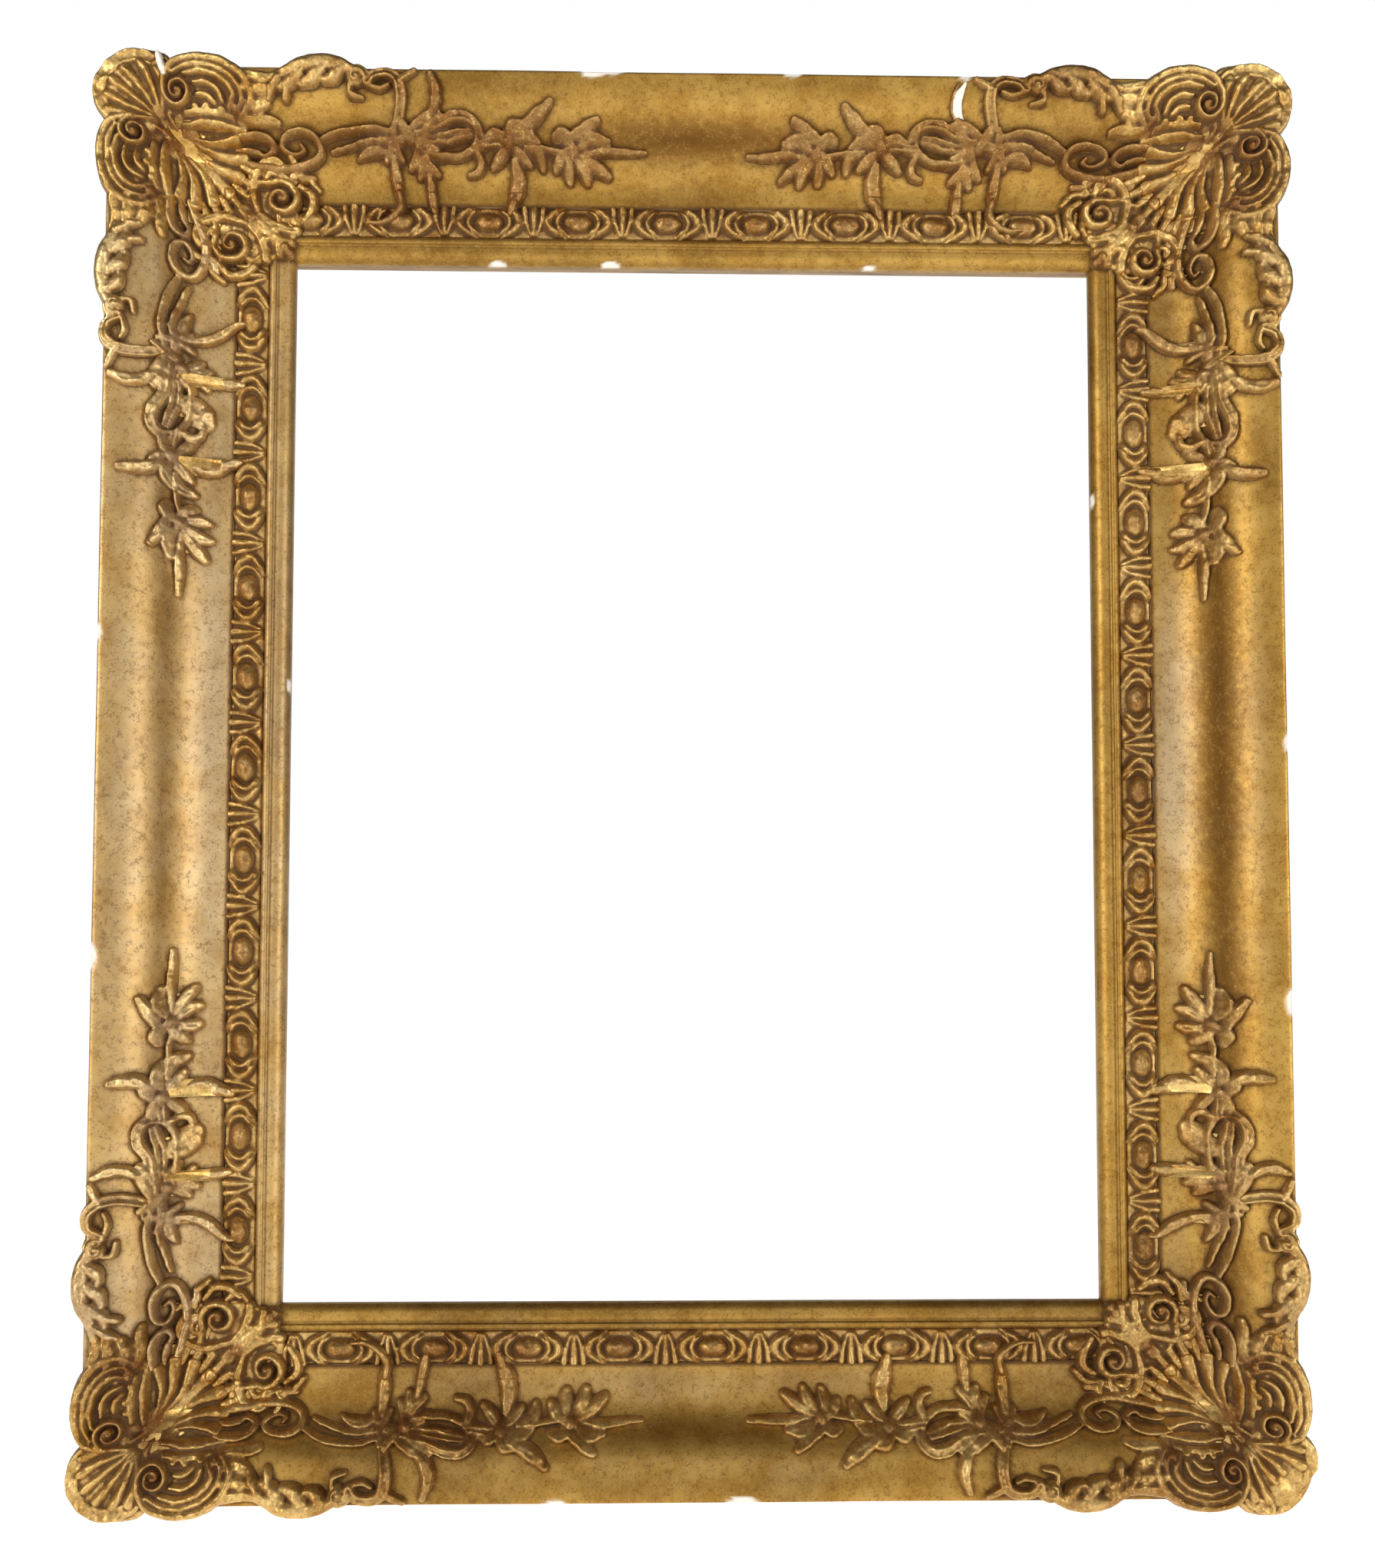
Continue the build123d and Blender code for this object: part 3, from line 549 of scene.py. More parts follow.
    # Inner fan of long lobes
    middle = np.array(FAN_MIDDLE)
    work.knob((70, 70), 12, 4, 3.5)
    for end, w in (((43, 43), 5.3), ((35.5, 53), 5.0), ((32.5, 64), 4.6), ((36, 73.5), 3.6)):
        for line in ([end] if end[0] == end[1] else [end, end[::-1]]):
            way = np.array(line) - middle
            bend = np.array((-way[1], way[0])) * np.sign(line[1] - line[0]) * 0.06
            lobe = [middle + way * 0.22, middle + way * 0.6 + bend, middle + way * 0.98]
            work.strand(lobe, [1.8, w * 0.72, w], [6.5, 8.8, 8.0], "round", 0.9)
    # Folded leaves where everything meets
    for line, w in (
        ([(86, 78), (78, 75), (71, 74)], 3.2),
        ([(78, 86), (75, 78), (74, 71)], 3.2),
        ([(83, 83), (77, 77), (71, 71)], 3.6),
    ):
        work.leaf(line, [w * 0.6, w, w * 0.7], [6.5, 8.4, 7.4], 0.4)
    work.stain((76, 76), 27, 1.0)
    for place in ((70.8, 98.8), (98.8, 70.8), (33, 90), (90, 33)):
        work.stain(place, 14, 1.0)
    return work.finish()


# Where the sight corner's volute was drawn; the corners' own eyes lie a little beside it
DRAWN_EYE = (4.5, 35.0)


def sight_casting(cell, eye, radius):
    """The paired volutes and leaves over the sight corner."""
    work = Carving((-26, 68), (-26, 68), cell)
    outline = [(1, 10), (10, 1), (26, -4), (42, 2), (56, 2), (60, 14), (52, 24)]
    outline += [(42, 34), (34, 42), (24, 52), (14, 60), (2, 56), (2, 42), (-4, 26)]
    work.bed(outline, 2.4)
    # Leaf over the mitre and the two arches beside it
    work.leaf([(32, 32), (22, 22), (12, 12), (4, 4)], [5.5, 6.4, 6.0, 4.2], [6.5, 7.6, 7.2, 5.0], 0.4, 3)
    for run in ([(21, 28), (13, 22), (4, 19), (-1, 19)], [(19, 17), (11, 11), (3, 10)]):
        for line in (run, mirrored(run)):
            work.leaf(line, [3.6, 4.2, 3.6], [6.8, 7.4, 5.6], 0.5)
    for place, r in (((12, 19), 3.2), ((19, 12), 3.2), ((27, 27), 3.6), ((6, 6), 3.4)):
        work.knob(place, r, 3.4, 4.8)
    # Collar of lobes under the fan
    for k in range(7):
        lobe = [polar(FAN_MIDDLE, reach, 225 + (k - 3) * 8.4) for reach in (43, 50, 55 + k % 2)]
        work.strand(lobe, [2.6, 3.6, 3.2], [6.4, 7.4, 6.4], "leaf", 0.6)
    for place, reach in ((eye, 11), (eye[::-1], 11), ((3, 3), 11), ((28, 28), 12)):
        work.stain(place, reach, 0.9)
    for turned, leave, hand in ((list, 60, -1), (mirrored, 30, 1)):
        def moved(line):
            return turned([(p + eye[0] - DRAWN_EYE[0], q + eye[1] - DRAWN_EYE[1]) for p, q in line])
        tail = moved([(14, 45.5), (20, 46), (26, 42)])
        work.scroll(*turned([eye]), radius, leave, 1.5, hand, tail, [1.9, 2.5, 2.9, 3.0, 3.0, 2.4],
                    [8.6, 9, 9, 8.6, 8, 6], "round", 0.4, 3.4)
        for line, w, tall in (
            ([(-8, 44), (-15, 38.5), (-15, 30), (-10, 22)], 3.4, 6.2),
            ([(-4, 49), (-13, 49), (-20, 42)], 2.8, 5.6),
            ([(-3, 50), (-6, 55), (-3, 61)], 3.2, 6.0),
            ([(20, 28), (22.5, 37), (23, 46), (19, 54.5), (11, 58.5), (4, 56.5), (2, 50.5)], 4.0, 8.2),
            ([(16, 47), (11, 52), (6, 51)], 3.0, 6.6),
        ):
            heights = [tall * 0.9, tall, tall, tall * 0.75]
            work.leaf(moved(line), [w * 0.75, w, w, w * 0.75], heights, 0.4)
    return work.finish()


def edge_casting(cell, upright):
    """The leafy wave over the rail's outer edge and the hook down to the spray."""
    work = Carving((-92, 18), (70, 128), cell)
    wave = [(14, 108.5), (5, 110), (-3, 113), (-11, 116.5), (-22, 118), (-33, 117), (-42, 113.5)]
    wave += [(-49, 110.5)]
    widths = [2.8, 4.2, 5.2, 5.8, 6.0, 5.6, 4.4, 3.2]
    work.strand(wave, widths, [5.5, 7.5, 8.8, 9.6, 9.8, 9, 8, 7], "round", 0.3)
    for line, w in (
        ([(-35, 113), (-31, 108.5), (-26, 107)], 5.0),
        ([(-22, 112), (-17, 107), (-11, 105)], 5.4),
        ([(-8, 110), (-3, 105), (3, 103)], 5.0),
        ([(5, 107), (9, 102), (12, 96)], 3.8),
    ):
        work.strand(line, [w * 0.9, w, w * 0.7], [8.8, 8.8, 6.5], "round", 0.3, curl=2.8)
    work.stain((-75, 100), 16, 0.6)
    work.strand([(-3, 107), (-0.5, 101), (0.5, 95.5)], [1.8, 3.2, 3.0], [6, 7, 6], "round", 0.4)
    # The curl at the wave's far end, with its knob and the lobe under it
    top = 114.5 if upright else 111.5
    tail = [(-58, top), (-67, top + 0.5), (-73.5, 108), (-75.3, 98), (-73.5, 88), (-70, 79)]
    work.scroll((-46, 108.5), 7.2, 200, 1.25, 1, tail, [1.5, 2.2, 2.6, 3.2, 3.6, 4.0, 4.2, 3.8, 2.8],
                [8.8, 8.8, 8.4, 8, 8, 8, 7.8, 7, 6], "gutter", 0.3, 3.0)
    for line, w in (
        ([(-41, 104), (-42, 99), (-49, 97.5)], 2.6),
        ([(-54, 104), (-61, 102.5), (-67, 105)], 2.4),
        ([(-73, 106), (-79, 111), (-85, 114)], 3.4),
    ):
        work.leaf(line, [w * 0.8, w, w * 0.8], [7, 6.6, 5], 0.2, 2.2)
    return work.finish()


def spray_casting(cell, lost_leaf, upright):
    """The floral spray from the cove volute by the corner to its tip."""
    work = Carving((-244, 38), (18, 122), cell)
    shift, foot = (6, -62) if upright else (0, -68.5)

    def add(line, widths, tall, section="round", lift=0.2):
        """A stem, ribbon or long leaf, lower at its end."""
        work.strand(line, widths, [tall, tall, tall * 0.95, tall * 0.7], section, lift, curl=2.0)

    def petals(width, tall, *lines):
        """Blunt full leaves, broadest near their ends."""
        for line in lines:
            run = [(p + shift, q) for p, q in line]
            widths = [width * 0.8, width * 1.3, width * 1.4, width * 0.9]
            work.leaf(run, widths, [tall, tall * 1.1, tall, tall * 0.7], 0.2, 2.6)

    # Cove volute: an almond that winds in to its eye, and the fringe under it
    almond = [(36, 65), (25, 61.5), (12, 59), (0, 58.6), (-11, 61), (-18, 66), (-17.5, 72.5), (-9, 77)]
    almond += [(2, 76), (6, 70.5), (-1, 66.5), (-8, 68), (-6, 71)]
    add(almond, [2.4, 3.6, 3.8, 3.8, 3.6, 3.2, 3.0, 2.8, 2.6, 2.4, 2.0, 1.7], 8.4)
    add([(36, 76), (25, 77), (15, 75), (11, 70), (16, 66.5), (22, 69)], [2.6, 3.2, 3.2, 3.0, 2.6, 2.2], 7.5)
    add([(22, 69), (30, 70), (36, 71)], [2.6, 3.0, 2.2], 7, "leaf")
    for line in (
        [(28, 60), (27, 54), (22, 50.5)],
        [(19, 58.5), (16, 53), (10, 50.5)],
        [(9, 57.5), (5, 52.5), (-1, 51)],
        [(-2, 57.5), (-7, 53.5), (-13, 53.5)],
    ):
        work.leaf(line, [3.2, 4.2, 3.2], [6.4, 6.6, 4.8], 0.2)
    hearts = (-86 + shift, 71), (-146 + shift, 73.5), (-191 + shift, 70)
    for place in ((-5, 70), (14, 70), (foot, 73), *hearts, (-122, 78)):
        work.stain(place, 15, 0.9)
    # Twin tendrils from the knot to the volute, with a bud
    add([(-68, 79), (-54, 81.5), (-40, 80), (-28, 77.5), (-17, 73)], [2.4, 2.6, 2.6, 2.6, 2.2], 6.4)
    add([(-66, 75), (-52, 75.5), (-40, 73), (-26, 69)], [3.0, 2.6, 2.4, 2.0], 6)
    add([(-64, 69), (-56, 70.5), (-48, 69), (-43, 66.5)], [2.4, 4.0, 3.8, 2.0], 6.6, "leaf")
    # Knot and the leaf that hangs from it over the egg band
    work.knob((foot, 73), 5.4, 7.0)
    for way in (20, 95, 165, 235, 305):
        work.leaf([(foot, 73), polar((foot, 73), 9.5, way)], [2.6, 3.6, 2.6], [7.4, 7.6, 5.5], 0.3)
    if upright:
        add([(-60, 66), (-58, 57), (-53, 47), (-47, 38), (-45, 31)], [3.0, 4.2, 4.4, 3.6, 1.8], 6.4, "leaf")
        petals(6.6, 5.6, [(-108, 69), (-113, 64), (-121, 56)])
    else:
        add([(-68, 66), (-68.5, 58), (-69, 49), (-69.5, 42)], [3.0, 4.8, 4.8, 3.0], 6.4, "leaf")
        add([(-70, 43), (-71, 35), (-66, 28), (-58, 24.5), (-49, 25)], [2.8, 3.2, 3.0, 2.4, 1.6], 7.4)
    # First cluster
    petals(3.2, 6.6, [(-84, 74), (-93, 79), (-101, 86)], [(-80, 79), (-90, 84), (-97, 88)],
           [(-84, 72), (-77, 78), (-73, 85)], [(-88, 73), (-95, 69), (-101, 66)],
           [(-85, 70), (-83, 64), (-80, 60)], [(-88, 68), (-91, 62), (-98, 57)],
           [(-87, 66), (-88, 60), (-86, 55)])
    work.knob(hearts[0], 3.8, 4, 5)
    petals(3.2, 5.4, [(-92, 57), (-93.5, 49), (-94, 41), (-95, 34)])
    if lost_leaf:
        # The leaf has come away: bare gesso in its bed, and the rest of its edge
        bare = [(-92.5, 87), (-97.6, 95), (-97.4, 104), (-93, 113)]
        work.strand(bare, [1.8, 3.6, 3.4, 1.4], 0.8, "flat", chip=1.0, curl=0.4)
        edge = [(-95, 85), (-101.8, 94), (-102, 104), (-97.5, 113.5)]
        work.strand(edge, [0.9, 1.2, 1.2, 0.8], 2.6)
    else:
        petals(3.4, 6.2, [(-92, 84), (-98, 92), (-100, 101), (-97, 112)])
    # Folded ribbon between the first and second clusters
    ribbon = [(-84 + shift, 78), (-98, 81), (-110, 86.5), (-119, 87), (-126, 82), (-125, 74)]
    add(ribbon, [2.4, 3.2, 3.6, 3.8, 3.8, 3.0], 7.6, "gutter")
    ribbon = [(-88 + shift, 68), (-100, 66.8), (-111, 67), (-120, 70.5), (-130, 74)]
    add(ribbon, [2.2, 2.6, 2.8, 3.0, 2.8], 7)
    add([(-92 + shift, 74), (-104, 75.5), (-119, 79)], [2.2, 4.0, 3.6], 6, "twin")
    add([(-122, 72), (-126, 65.5), (-124.5, 59.5), (-119.5, 57.5)], [2.6, 3.4, 3.4, 2.8], 7, "leaf")
    # Second cluster with its up and down leaves
    add([(-124, 74), (-136, 75), (-149, 73)], [2.6, 3.0, 2.6], 6.6, "twin")
    work.knob(hearts[1], 4.0, 4.0, 5)
    petals(3.4, 6.6, [(-146, 74), (-138, 79), (-131, 77)], [(-145, 72), (-139, 67), (-134, 62)],
           [(-149, 71), (-155, 67), (-160, 63)], [(-150, 75), (-158, 77), (-166, 74)],
           [(-146, 76), (-148, 82), (-154, 84)], [(-160, 71), (-167, 68.5), (-169.5, 61)])
    if upright:
        petals(3.8, 6.8, [(-150, 79), (-156, 88), (-156, 103)])
    else:
        petals(3.8, 6.8, [(-150, 78), (-158, 82.5), (-166, 88), (-174, 95)])
    petals(4.6, 6.0, [(-149, 64), (-150.5, 56), (-149.5, 48), (-147, 40)])
    petals(2.6, 5.4, [(-148, 42), (-146, 36), (-145, 32)])
    # Third cluster and the long tip
    stem = [(-158 + shift, 71.5), (-170, 71.5), (-184 + shift, 70), (-194 + shift, 70.5)]
    add(stem, [2.2, 2.0, 2.2, 2.4], 6)
    work.knob(hearts[2], 4.2, 4.0, 4.6)
    petals(3.5, 6.4, [(-186, 75), (-196, 80), (-207, 87)], [(-194, 72), (-203, 77), (-213, 76)],
           [(-196, 68), (-206, 63), (-214, 57)], [(-193, 66), (-199, 60), (-201, 54)],
           [(-189, 67), (-188, 60), (-189, 54.5)], [(-187, 71), (-182, 66), (-179, 61)],
           [(-190, 73), (-184, 78), (-178, 77)])
    petals(2.3, 5.6, [(-197, 70), (-212, 71), (-226, 70.5), (-238, 70.5)])
    return work.finish()


# Meshes

# A casting ends where its carving lies lower than this over its ground
CASTING_END = -1.3
# The egg band and the slip inside it carry the castings at this height
BAND_END, BAND_HEIGHT = 46.0, 43.5
# From here outward a casting hangs over the rail's side
OVERHANG_START = RAIL_WIDTH - 3
# How long the waves are in which castings wander
WANDER = 60
# How far from its middle the plan of soil reaches, across and up
SOIL_X, SOIL_Z = 420, 500


def ground(out):
    """Height of what a casting lies on: the face, or the egg band and slip inside it."""
    face = face_height(out)
    return np.where(out < BAND_END, np.maximum(BAND_HEIGHT, face), face)


def solid(name, points, faces, materials, replaced, marks=None, kinds=None, body="frame", smooth=True):
    """Makes a piece from points in millimetres, puts it in its nodes' place and moves it with its body."""
    mesh = bpy.data.meshes.new(name)
    mesh.from_pydata((np.asarray(points) * MM).tolist(), [], faces)
    for material in materials:
        mesh.materials.append(material)
    if kinds is not None:
        mesh.polygons.foreach_set("material_index", np.asarray(kinds, np.int32))
    for mark, values in (marks or {}).items():
        layer = mesh.attributes.new(mark, "FLOAT", "POINT")
        layer.data.foreach_set("value", np.asarray(values, np.float32))
    mesh.polygons.foreach_set("use_smooth", np.ones(len(mesh.polygons), bool) & smooth)
    mesh.update()
    outward = bmesh.new()
    outward.from_mesh(mesh)
    bmesh.ops.recalc_face_normals(outward, faces=outward.faces)
    outward.to_mesh(mesh)
    outward.free()
    made = bpy.data.objects.new(name, mesh)
    bpy.context.scene.collection.objects.link(made)
    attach(made, body)
    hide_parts(*replaced)


def closing(points, sides, **settings):
    """Triangles that fill the outlines whose sides are given as pairs of numbers of points."""
    sheet = bmesh.new()
    verts = [sheet.verts.new(point) for point in points]
    edges = [sheet.edges.new((verts[a], verts[b])) for a, b in sides]
    bmesh.ops.triangle_fill(sheet, use_dissolve=False, edges=edges, **settings)
    sheet.verts.index_update()
    faces = [[vert.index for vert in face.verts] for face in sheet.faces]
    sheet.free()
    return faces


def on_side(side, along, out, height):
    """Points of the frame from places along a side, out from its sight edge and forward."""
    across, up, half_opening, _ = SIDES[side]
    x = across * (half_opening + out) + (up != 0) * along
    z = up * (half_opening + out) + (across != 0) * along
    return np.stack([x, -height, z], -1)


class SoilAndShade:
    """A plan of where ornament stands on the rails, blurred, so dirt and painted shade can darken the rails
    beside it.
    """

    def __init__(self):
        self.plan = np.zeros((2 * SOIL_X, 2 * SOIL_Z))

    def cells(self, points):
        """The plan's cells, a millimetre wide, that points lie over."""
        row = np.clip((points[:, 0] + SOIL_X).astype(int), 0, 2 * SOIL_X - 1)
        column = np.clip((points[:, 2] + SOIL_Z).astype(int), 0, 2 * SOIL_Z - 1)
        return row, column

    def put(self, points):
        self.plan[self.cells(points)] = 1

    def spread(self):
        self.plan = blurred(self.plan, 7)

    def read(self, points):
        return self.plan[self.cells(points)]


soil_and_shade = SoilAndShade()


def warped(p, q, seed, amount):
    """Places after a slow wander, so no two castings are quite the same."""
    draw = np.random.default_rng(seed)
    move_p, move_q = np.zeros_like(p), np.zeros_like(q)
    for _ in range(5):
        a, b = draw.uniform(-1, 1, 2) * 2 * pi / WANDER
        phase, side = draw.uniform(0, 2 * pi, 2)
        wave = amount / 2.2 * np.sin(a * p + b * q + phase)
        move_p += wave * cos(side)
        move_q += wave * sin(side)
    return p + move_p, q + move_q


def rail_ground(p, q):
    """The ground under a corner's casting."""
    return ground(np.maximum(p, q))


def whole_cells(keep):
    """The grid's cells whose four corners are kept, none of which meets another at a corner alone."""
    cells = keep[:-1, :-1] & keep[1:, :-1] & keep[1:, 1:] & keep[:-1, 1:]
    for _ in range(3):
        slant = cells[:-1, :-1] & cells[1:, 1:] & ~cells[1:, :-1] & ~cells[:-1, 1:]
        cells[1:, 1:] &= ~slant
        slant = cells[1:, :-1] & cells[:-1, 1:] & ~cells[:-1, :-1] & ~cells[1:, 1:]
        cells[:-1, 1:] &= ~slant
    return cells


def lone_sides(quads):
    """The sides, as pairs of numbers, that only one quad has."""
    lone = {}
    for a, b in np.concatenate([quads[:, [k, (k + 1) % 4]] for k in range(4)]).tolist():
        if (b, a) in lone:
            del lone[(b, a)]
        else:
            lone[(a, b)] = True
    return list(lone)


def wear_and_painted_light(work, spots, brown_and_shade, dust_and_sheen):
    """The marks that steer the gilding: hollows for dirt and painted shade, ridges for wear and painted
    highlights, chips, brown clay with painted shade, and pale dust with painted sheen.
    """
    near = blurred(work.height, 6)
    wide = blurred(near, 26)
    # Hollows carry dirt and painted shade: darker in small and in broad recesses
    hollow = np.clip((near - work.height) * 0.9, 0, 1) + np.clip((wide - work.height) * 0.30, 0, 1)
    ridge = np.clip((work.height - near) * 1.1, 0, 1) * 0.6 + np.clip((work.height - wide) * 0.16, 0, 1)
    fields = {"hollow": np.clip(hollow, 0, 1), "ridge": ridge, "chip": work.chip}
    fields["brown"] = np.maximum(work.brown, brown_and_shade)
    fields["dust_and_sheen"] = np.full(ridge.shape, dust_and_sheen)
    return {mark: field[spots] for mark, field in fields.items()}


def cast(name, work, place, replaced, seed, amount, depth=3.0, brown_and_shade=0.2, dust_and_sheen=0.0, lie=rail_ground):
    """Turns a carving into a closed mesh on the frame; place maps p, q and height to the frame."""
    cells = whole_cells(work.height > CASTING_END)
    used = np.zeros(work.height.shape, bool)
    for rows in (slice(None, -1), slice(1, None)):
        for columns in (slice(None, -1), slice(1, None)):
            used[rows, columns] |= cells
    number = np.full(used.shape, -1)
    number[used] = np.arange(used.sum())
    i, k = np.nonzero(cells)
    quads = np.stack([number[i, k], number[i + 1, k], number[i + 1, k + 1], number[i, k + 1]], 1)
    spots = np.nonzero(used)
    p, q, height = work.p[spots[0]], work.q[spots[1]], work.height[spots]
    # The outline is smoothed, so that the grid doesn't show in it
    sides = lone_sides(quads)
    after = {a: b for a, b in sides}
    before = {b: a for a, b in sides}
    rim = np.array(sorted(after))
    ahead = np.array([after[a] for a in rim.tolist()])
    behind = np.array([before[a] for a in rim.tolist()])
    for _ in range(4):
        for run in (p, q):
            run[rim] = run[rim] * 0.5 + (run[ahead] + run[behind]) * 0.25
    p, q = warped(p, q, seed, amount)
    level = lie(p, q)
    top = level + height
    under = level[rim] - depth
    beyond = np.maximum(p, q)[rim] > OVERHANG_START
    under = np.where(beyond, np.minimum(under, CREST - EDGE), under)
    points = np.concatenate([place(p, q, top), place(p[rim], q[rim], under)])
    lit = height > 0
    soil_and_shade.put(place(p[lit], q[lit], top[lit]))
    low = dict(zip(rim.tolist(), range(len(rim))))
    first = len(p)
    faces = quads.tolist()
    faces += [[b, a, first + low[a], first + low[b]] for a, b in after.items()]
    sides = [(low[b], low[a]) for a, b in after.items()]
    underside = closing(points[first:], sides, use_beauty=False, normal=(0, -1, 0))
    faces += [[first + k for k in face] for face in underside]
    marks = wear_and_painted_light(work, spots, brown_and_shade, dust_and_sheen)
    marks = {mark: np.concatenate([values, values[rim] * 0]) for mark, values in marks.items()}
    solid(name, points, faces, [ornament_gilt], replaced, marks)


def corner_place(across, up, turned):
    """Maps a casting's p, q and height to the frame at one corner."""
    def place(p, q, height):
        if turned:
            p, q = q, p
        return np.stack([across * (HALF_WIDTH + p), -height, up * (HALF_HEIGHT + q)], -1)
    return place


# Castings

CORNERS = {"upper_right": (1, 1), "upper_left": (-1, 1), "lower_right": (1, -1), "lower_left": (-1, -1)}
# Each side's halves: which way they lie across and up, and whether the side is upright
HALVES = {
    "top_right": (1, 1, False),
    "bottom_right": (1, -1, False),
    "top_left": (-1, 1, False),
    "bottom_left": (-1, -1, False),
    "right_top": (1, 1, True),
    "left_top": (-1, 1, True),
    "right_bottom": (1, -1, True),
    "left_bottom": (-1, -1, True),
}
CELL = 0.6
shells = {state: shell_casting(CELL, state) for state in ("whole", "broken", "chipped")}
SHELL_STATE = {"lower_right": "broken", "upper_left": "chipped"}
# The eye and the radius of each sight corner's volutes
EYES = {
    "upper_right": ((4.5, 35.0), 11.0),
    "upper_left": ((8.0, 40.0), 12.0),
    "lower_right": ((4.5, 36.0), 11.0),
    "lower_left": ((7.0, 38.5), 11.6),
}
edges = {upright: edge_casting(CELL, upright) for upright in (False, True)}
for seed, (corner, (across, up)) in enumerate(CORNERS.items(), 11):
    place = corner_place(across, up, False)
    shell = shells[SHELL_STATE.get(corner, "whole")]
    cast(f"{corner}_shell", shell, place, [f"corner_shell_{corner}"], seed, 0.8)
    sight = sight_casting(CELL, *EYES[corner])
    cast(f"{corner}_sight_scroll", sight, place, [f"sight_scroll_{corner}"], seed, 0.8)
# How brown and how pale the sprays of each side are painted: brown as clay and painted shade, pale as dust
# and painted sheen
SPRAY_TONES = {"top": (0.75, 0.0), "bottom": (0.45, 0.0), "right": (0.45, 0.35), "left": (0.05, 0.6)}
for seed, (half, (across, up, turned)) in enumerate(HALVES.items(), 31):
    place = corner_place(across, up, turned)
    spray = spray_casting(CELL, half == "top_right", turned)
    brown, dust_and_sheen = SPRAY_TONES[half.split("_")[0]]
    replaced = [f"edge_scroll_{half}"]
    cast(f"{half}_edge_scroll", edges[turned], place, replaced, seed, 1.0, brown_and_shade=brown * 0.7, dust_and_sheen=dust_and_sheen)
    replaced = [f"floral_spray_{half}"]
    cast(f"{half}_spray", spray, place, replaced, seed, 1.8, brown_and_shade=brown, dust_and_sheen=dust_and_sheen)

# The strip under the eggs: where it starts, its middle, half its width, and the field that is carved
STRIP_START, STRIP_MIDDLE, STRIP_HALF, STRIP_FIELD = 18.5, 27.3, 10.3, (16.2, 38.4)
# How far out the eggs lie, and half their length and width
EGG_OUT, EGG_LONG, EGG_WIDE = 27.6, 10.0, 6.6


def egg_carving(side):
    """Eggs in their cups with darts between, along a side."""
    half_run = SIDES[side][3] + STRIP_START
    work = Carving((-half_run, half_run), STRIP_FIELD, CELL)
    S, U = np.meshgrid(work.p, work.q, indexing="ij")
    work.height = 1.0 - 2.4 * np.clip((np.abs(U - STRIP_MIDDLE) - STRIP_HALF) / 0.7, 0, 1)
    draw = np.random.default_rng(sum(map(ord, side)))
    first = int(np.floor((-half_run - EGG_SHIFT[side]) / EGG_PITCH))
    last = int(np.ceil((half_run - EGG_SHIFT[side]) / EGG_PITCH))
    for k in range(first, last + 1):
        s = EGG_SHIFT[side] + k * EGG_PITCH + draw.uniform(-0.4, 0.4)
        window = work.window((s - 34, 16), (s + 34, 39))
        if work.p[window[0]].size < 3:
            continue
        P, Q = work.grid(window)
        x, y = (P - s) / EGG_LONG, (Q - EGG_OUT) / EGG_WIDE
        egg = 1 - np.hypot(x, y)
        work.lay(window, egg * 7, 7.6 * np.sqrt(np.clip(1 - x * x - y * y, 0, 1)) + 0.4)
        work.stain((s, EGG_OUT), 12, 0.8)
        # Two cups that hold the egg's ends, one outside the other
        for reach, tall, wide, rise in ((14.2, 8.8, 2.3, 6.0), (20.6, 10.2, 2.9, 7.2)):
            far = np.hypot((P - s) / reach, (Q - EGG_OUT) / tall)
            away = np.abs(far - 1) * np.minimum(reach, tall) * (1 + 0.6 * np.abs(P - s) / reach)
            open_side = np.clip((np.abs(P - s) / reach - 0.35) * 3, 0, 1)
            form = rise * np.sqrt(np.clip(1 - (away / wide) ** 2, 0, 1)) * open_side + 0.2
            work.lay(window, np.where(open_side > 0, wide - away, -1), form)
        # The dart, with a leaf on each side of it
        mid = s + EGG_PITCH / 2
        for shift, w, rise in ((0, 2.6, 6.4), (-5.2, 2.2, 5.2), (5.2, 2.2, 5.2)):
            line = [(mid + shift * 1.25, 36.5), (mid + shift, 28), (mid + shift * 0.4, 19)]
            work.strand(line, [w * 1.2, w, w * 0.5], [rise, rise, rise * 0.7], "leaf", 0.2)
    # The mitres
    past = np.abs(S) > half_run - STRIP_START + U
    work.height = np.where(past, NOTHING, work.height)
    return work.finish()


def strip_place(side):
    """Maps a place along a side, out from its sight edge and forward, to the frame."""
    return lambda p, q, height: on_side(side, p, q, height)


def strip_ground(p, q):
    """The flat top of the strip under the eggs."""
    return BED + STRIP_THICKNESS + 0 * q


for side in SIDES:
    replaced = [f"{side}_egg_and_dart"]
    cast(f"{side}_eggs", egg_carving(side), strip_place(side), replaced, 1, 0, 1.9, 0.35, lie=strip_ground)

soil_and_shade.spread()

# Rails and slips


def hill(value, low, top, high):
    """Rises from low to top and falls again to high, softly."""
    rise = np.clip((value - low) / (top - low), 0, 1) * np.clip((high - value) / (high - top), 0, 1)
    return rise * rise * (3 - 2 * rise)


# How much each side is painted brown, as clay and as a painted dark reflection on its steep face; how strong
# its bands of pale dust and painted sheen are; and how much paler the whole side is painted, as painted
# light
BROWN_AND_SHADE_SHARE = {"top": 0.95, "bottom": 0.0, "right": 0.8, "left": 0.1}
DUST_AND_SHEEN_SHARE = {"top": 0.15, "bottom": 0.3, "right": 0.7, "left": 0.45}
PALE_AND_LIT_SHARE = {"top": 0.0, "bottom": 0.25, "right": 0.2, "left": 0.55}


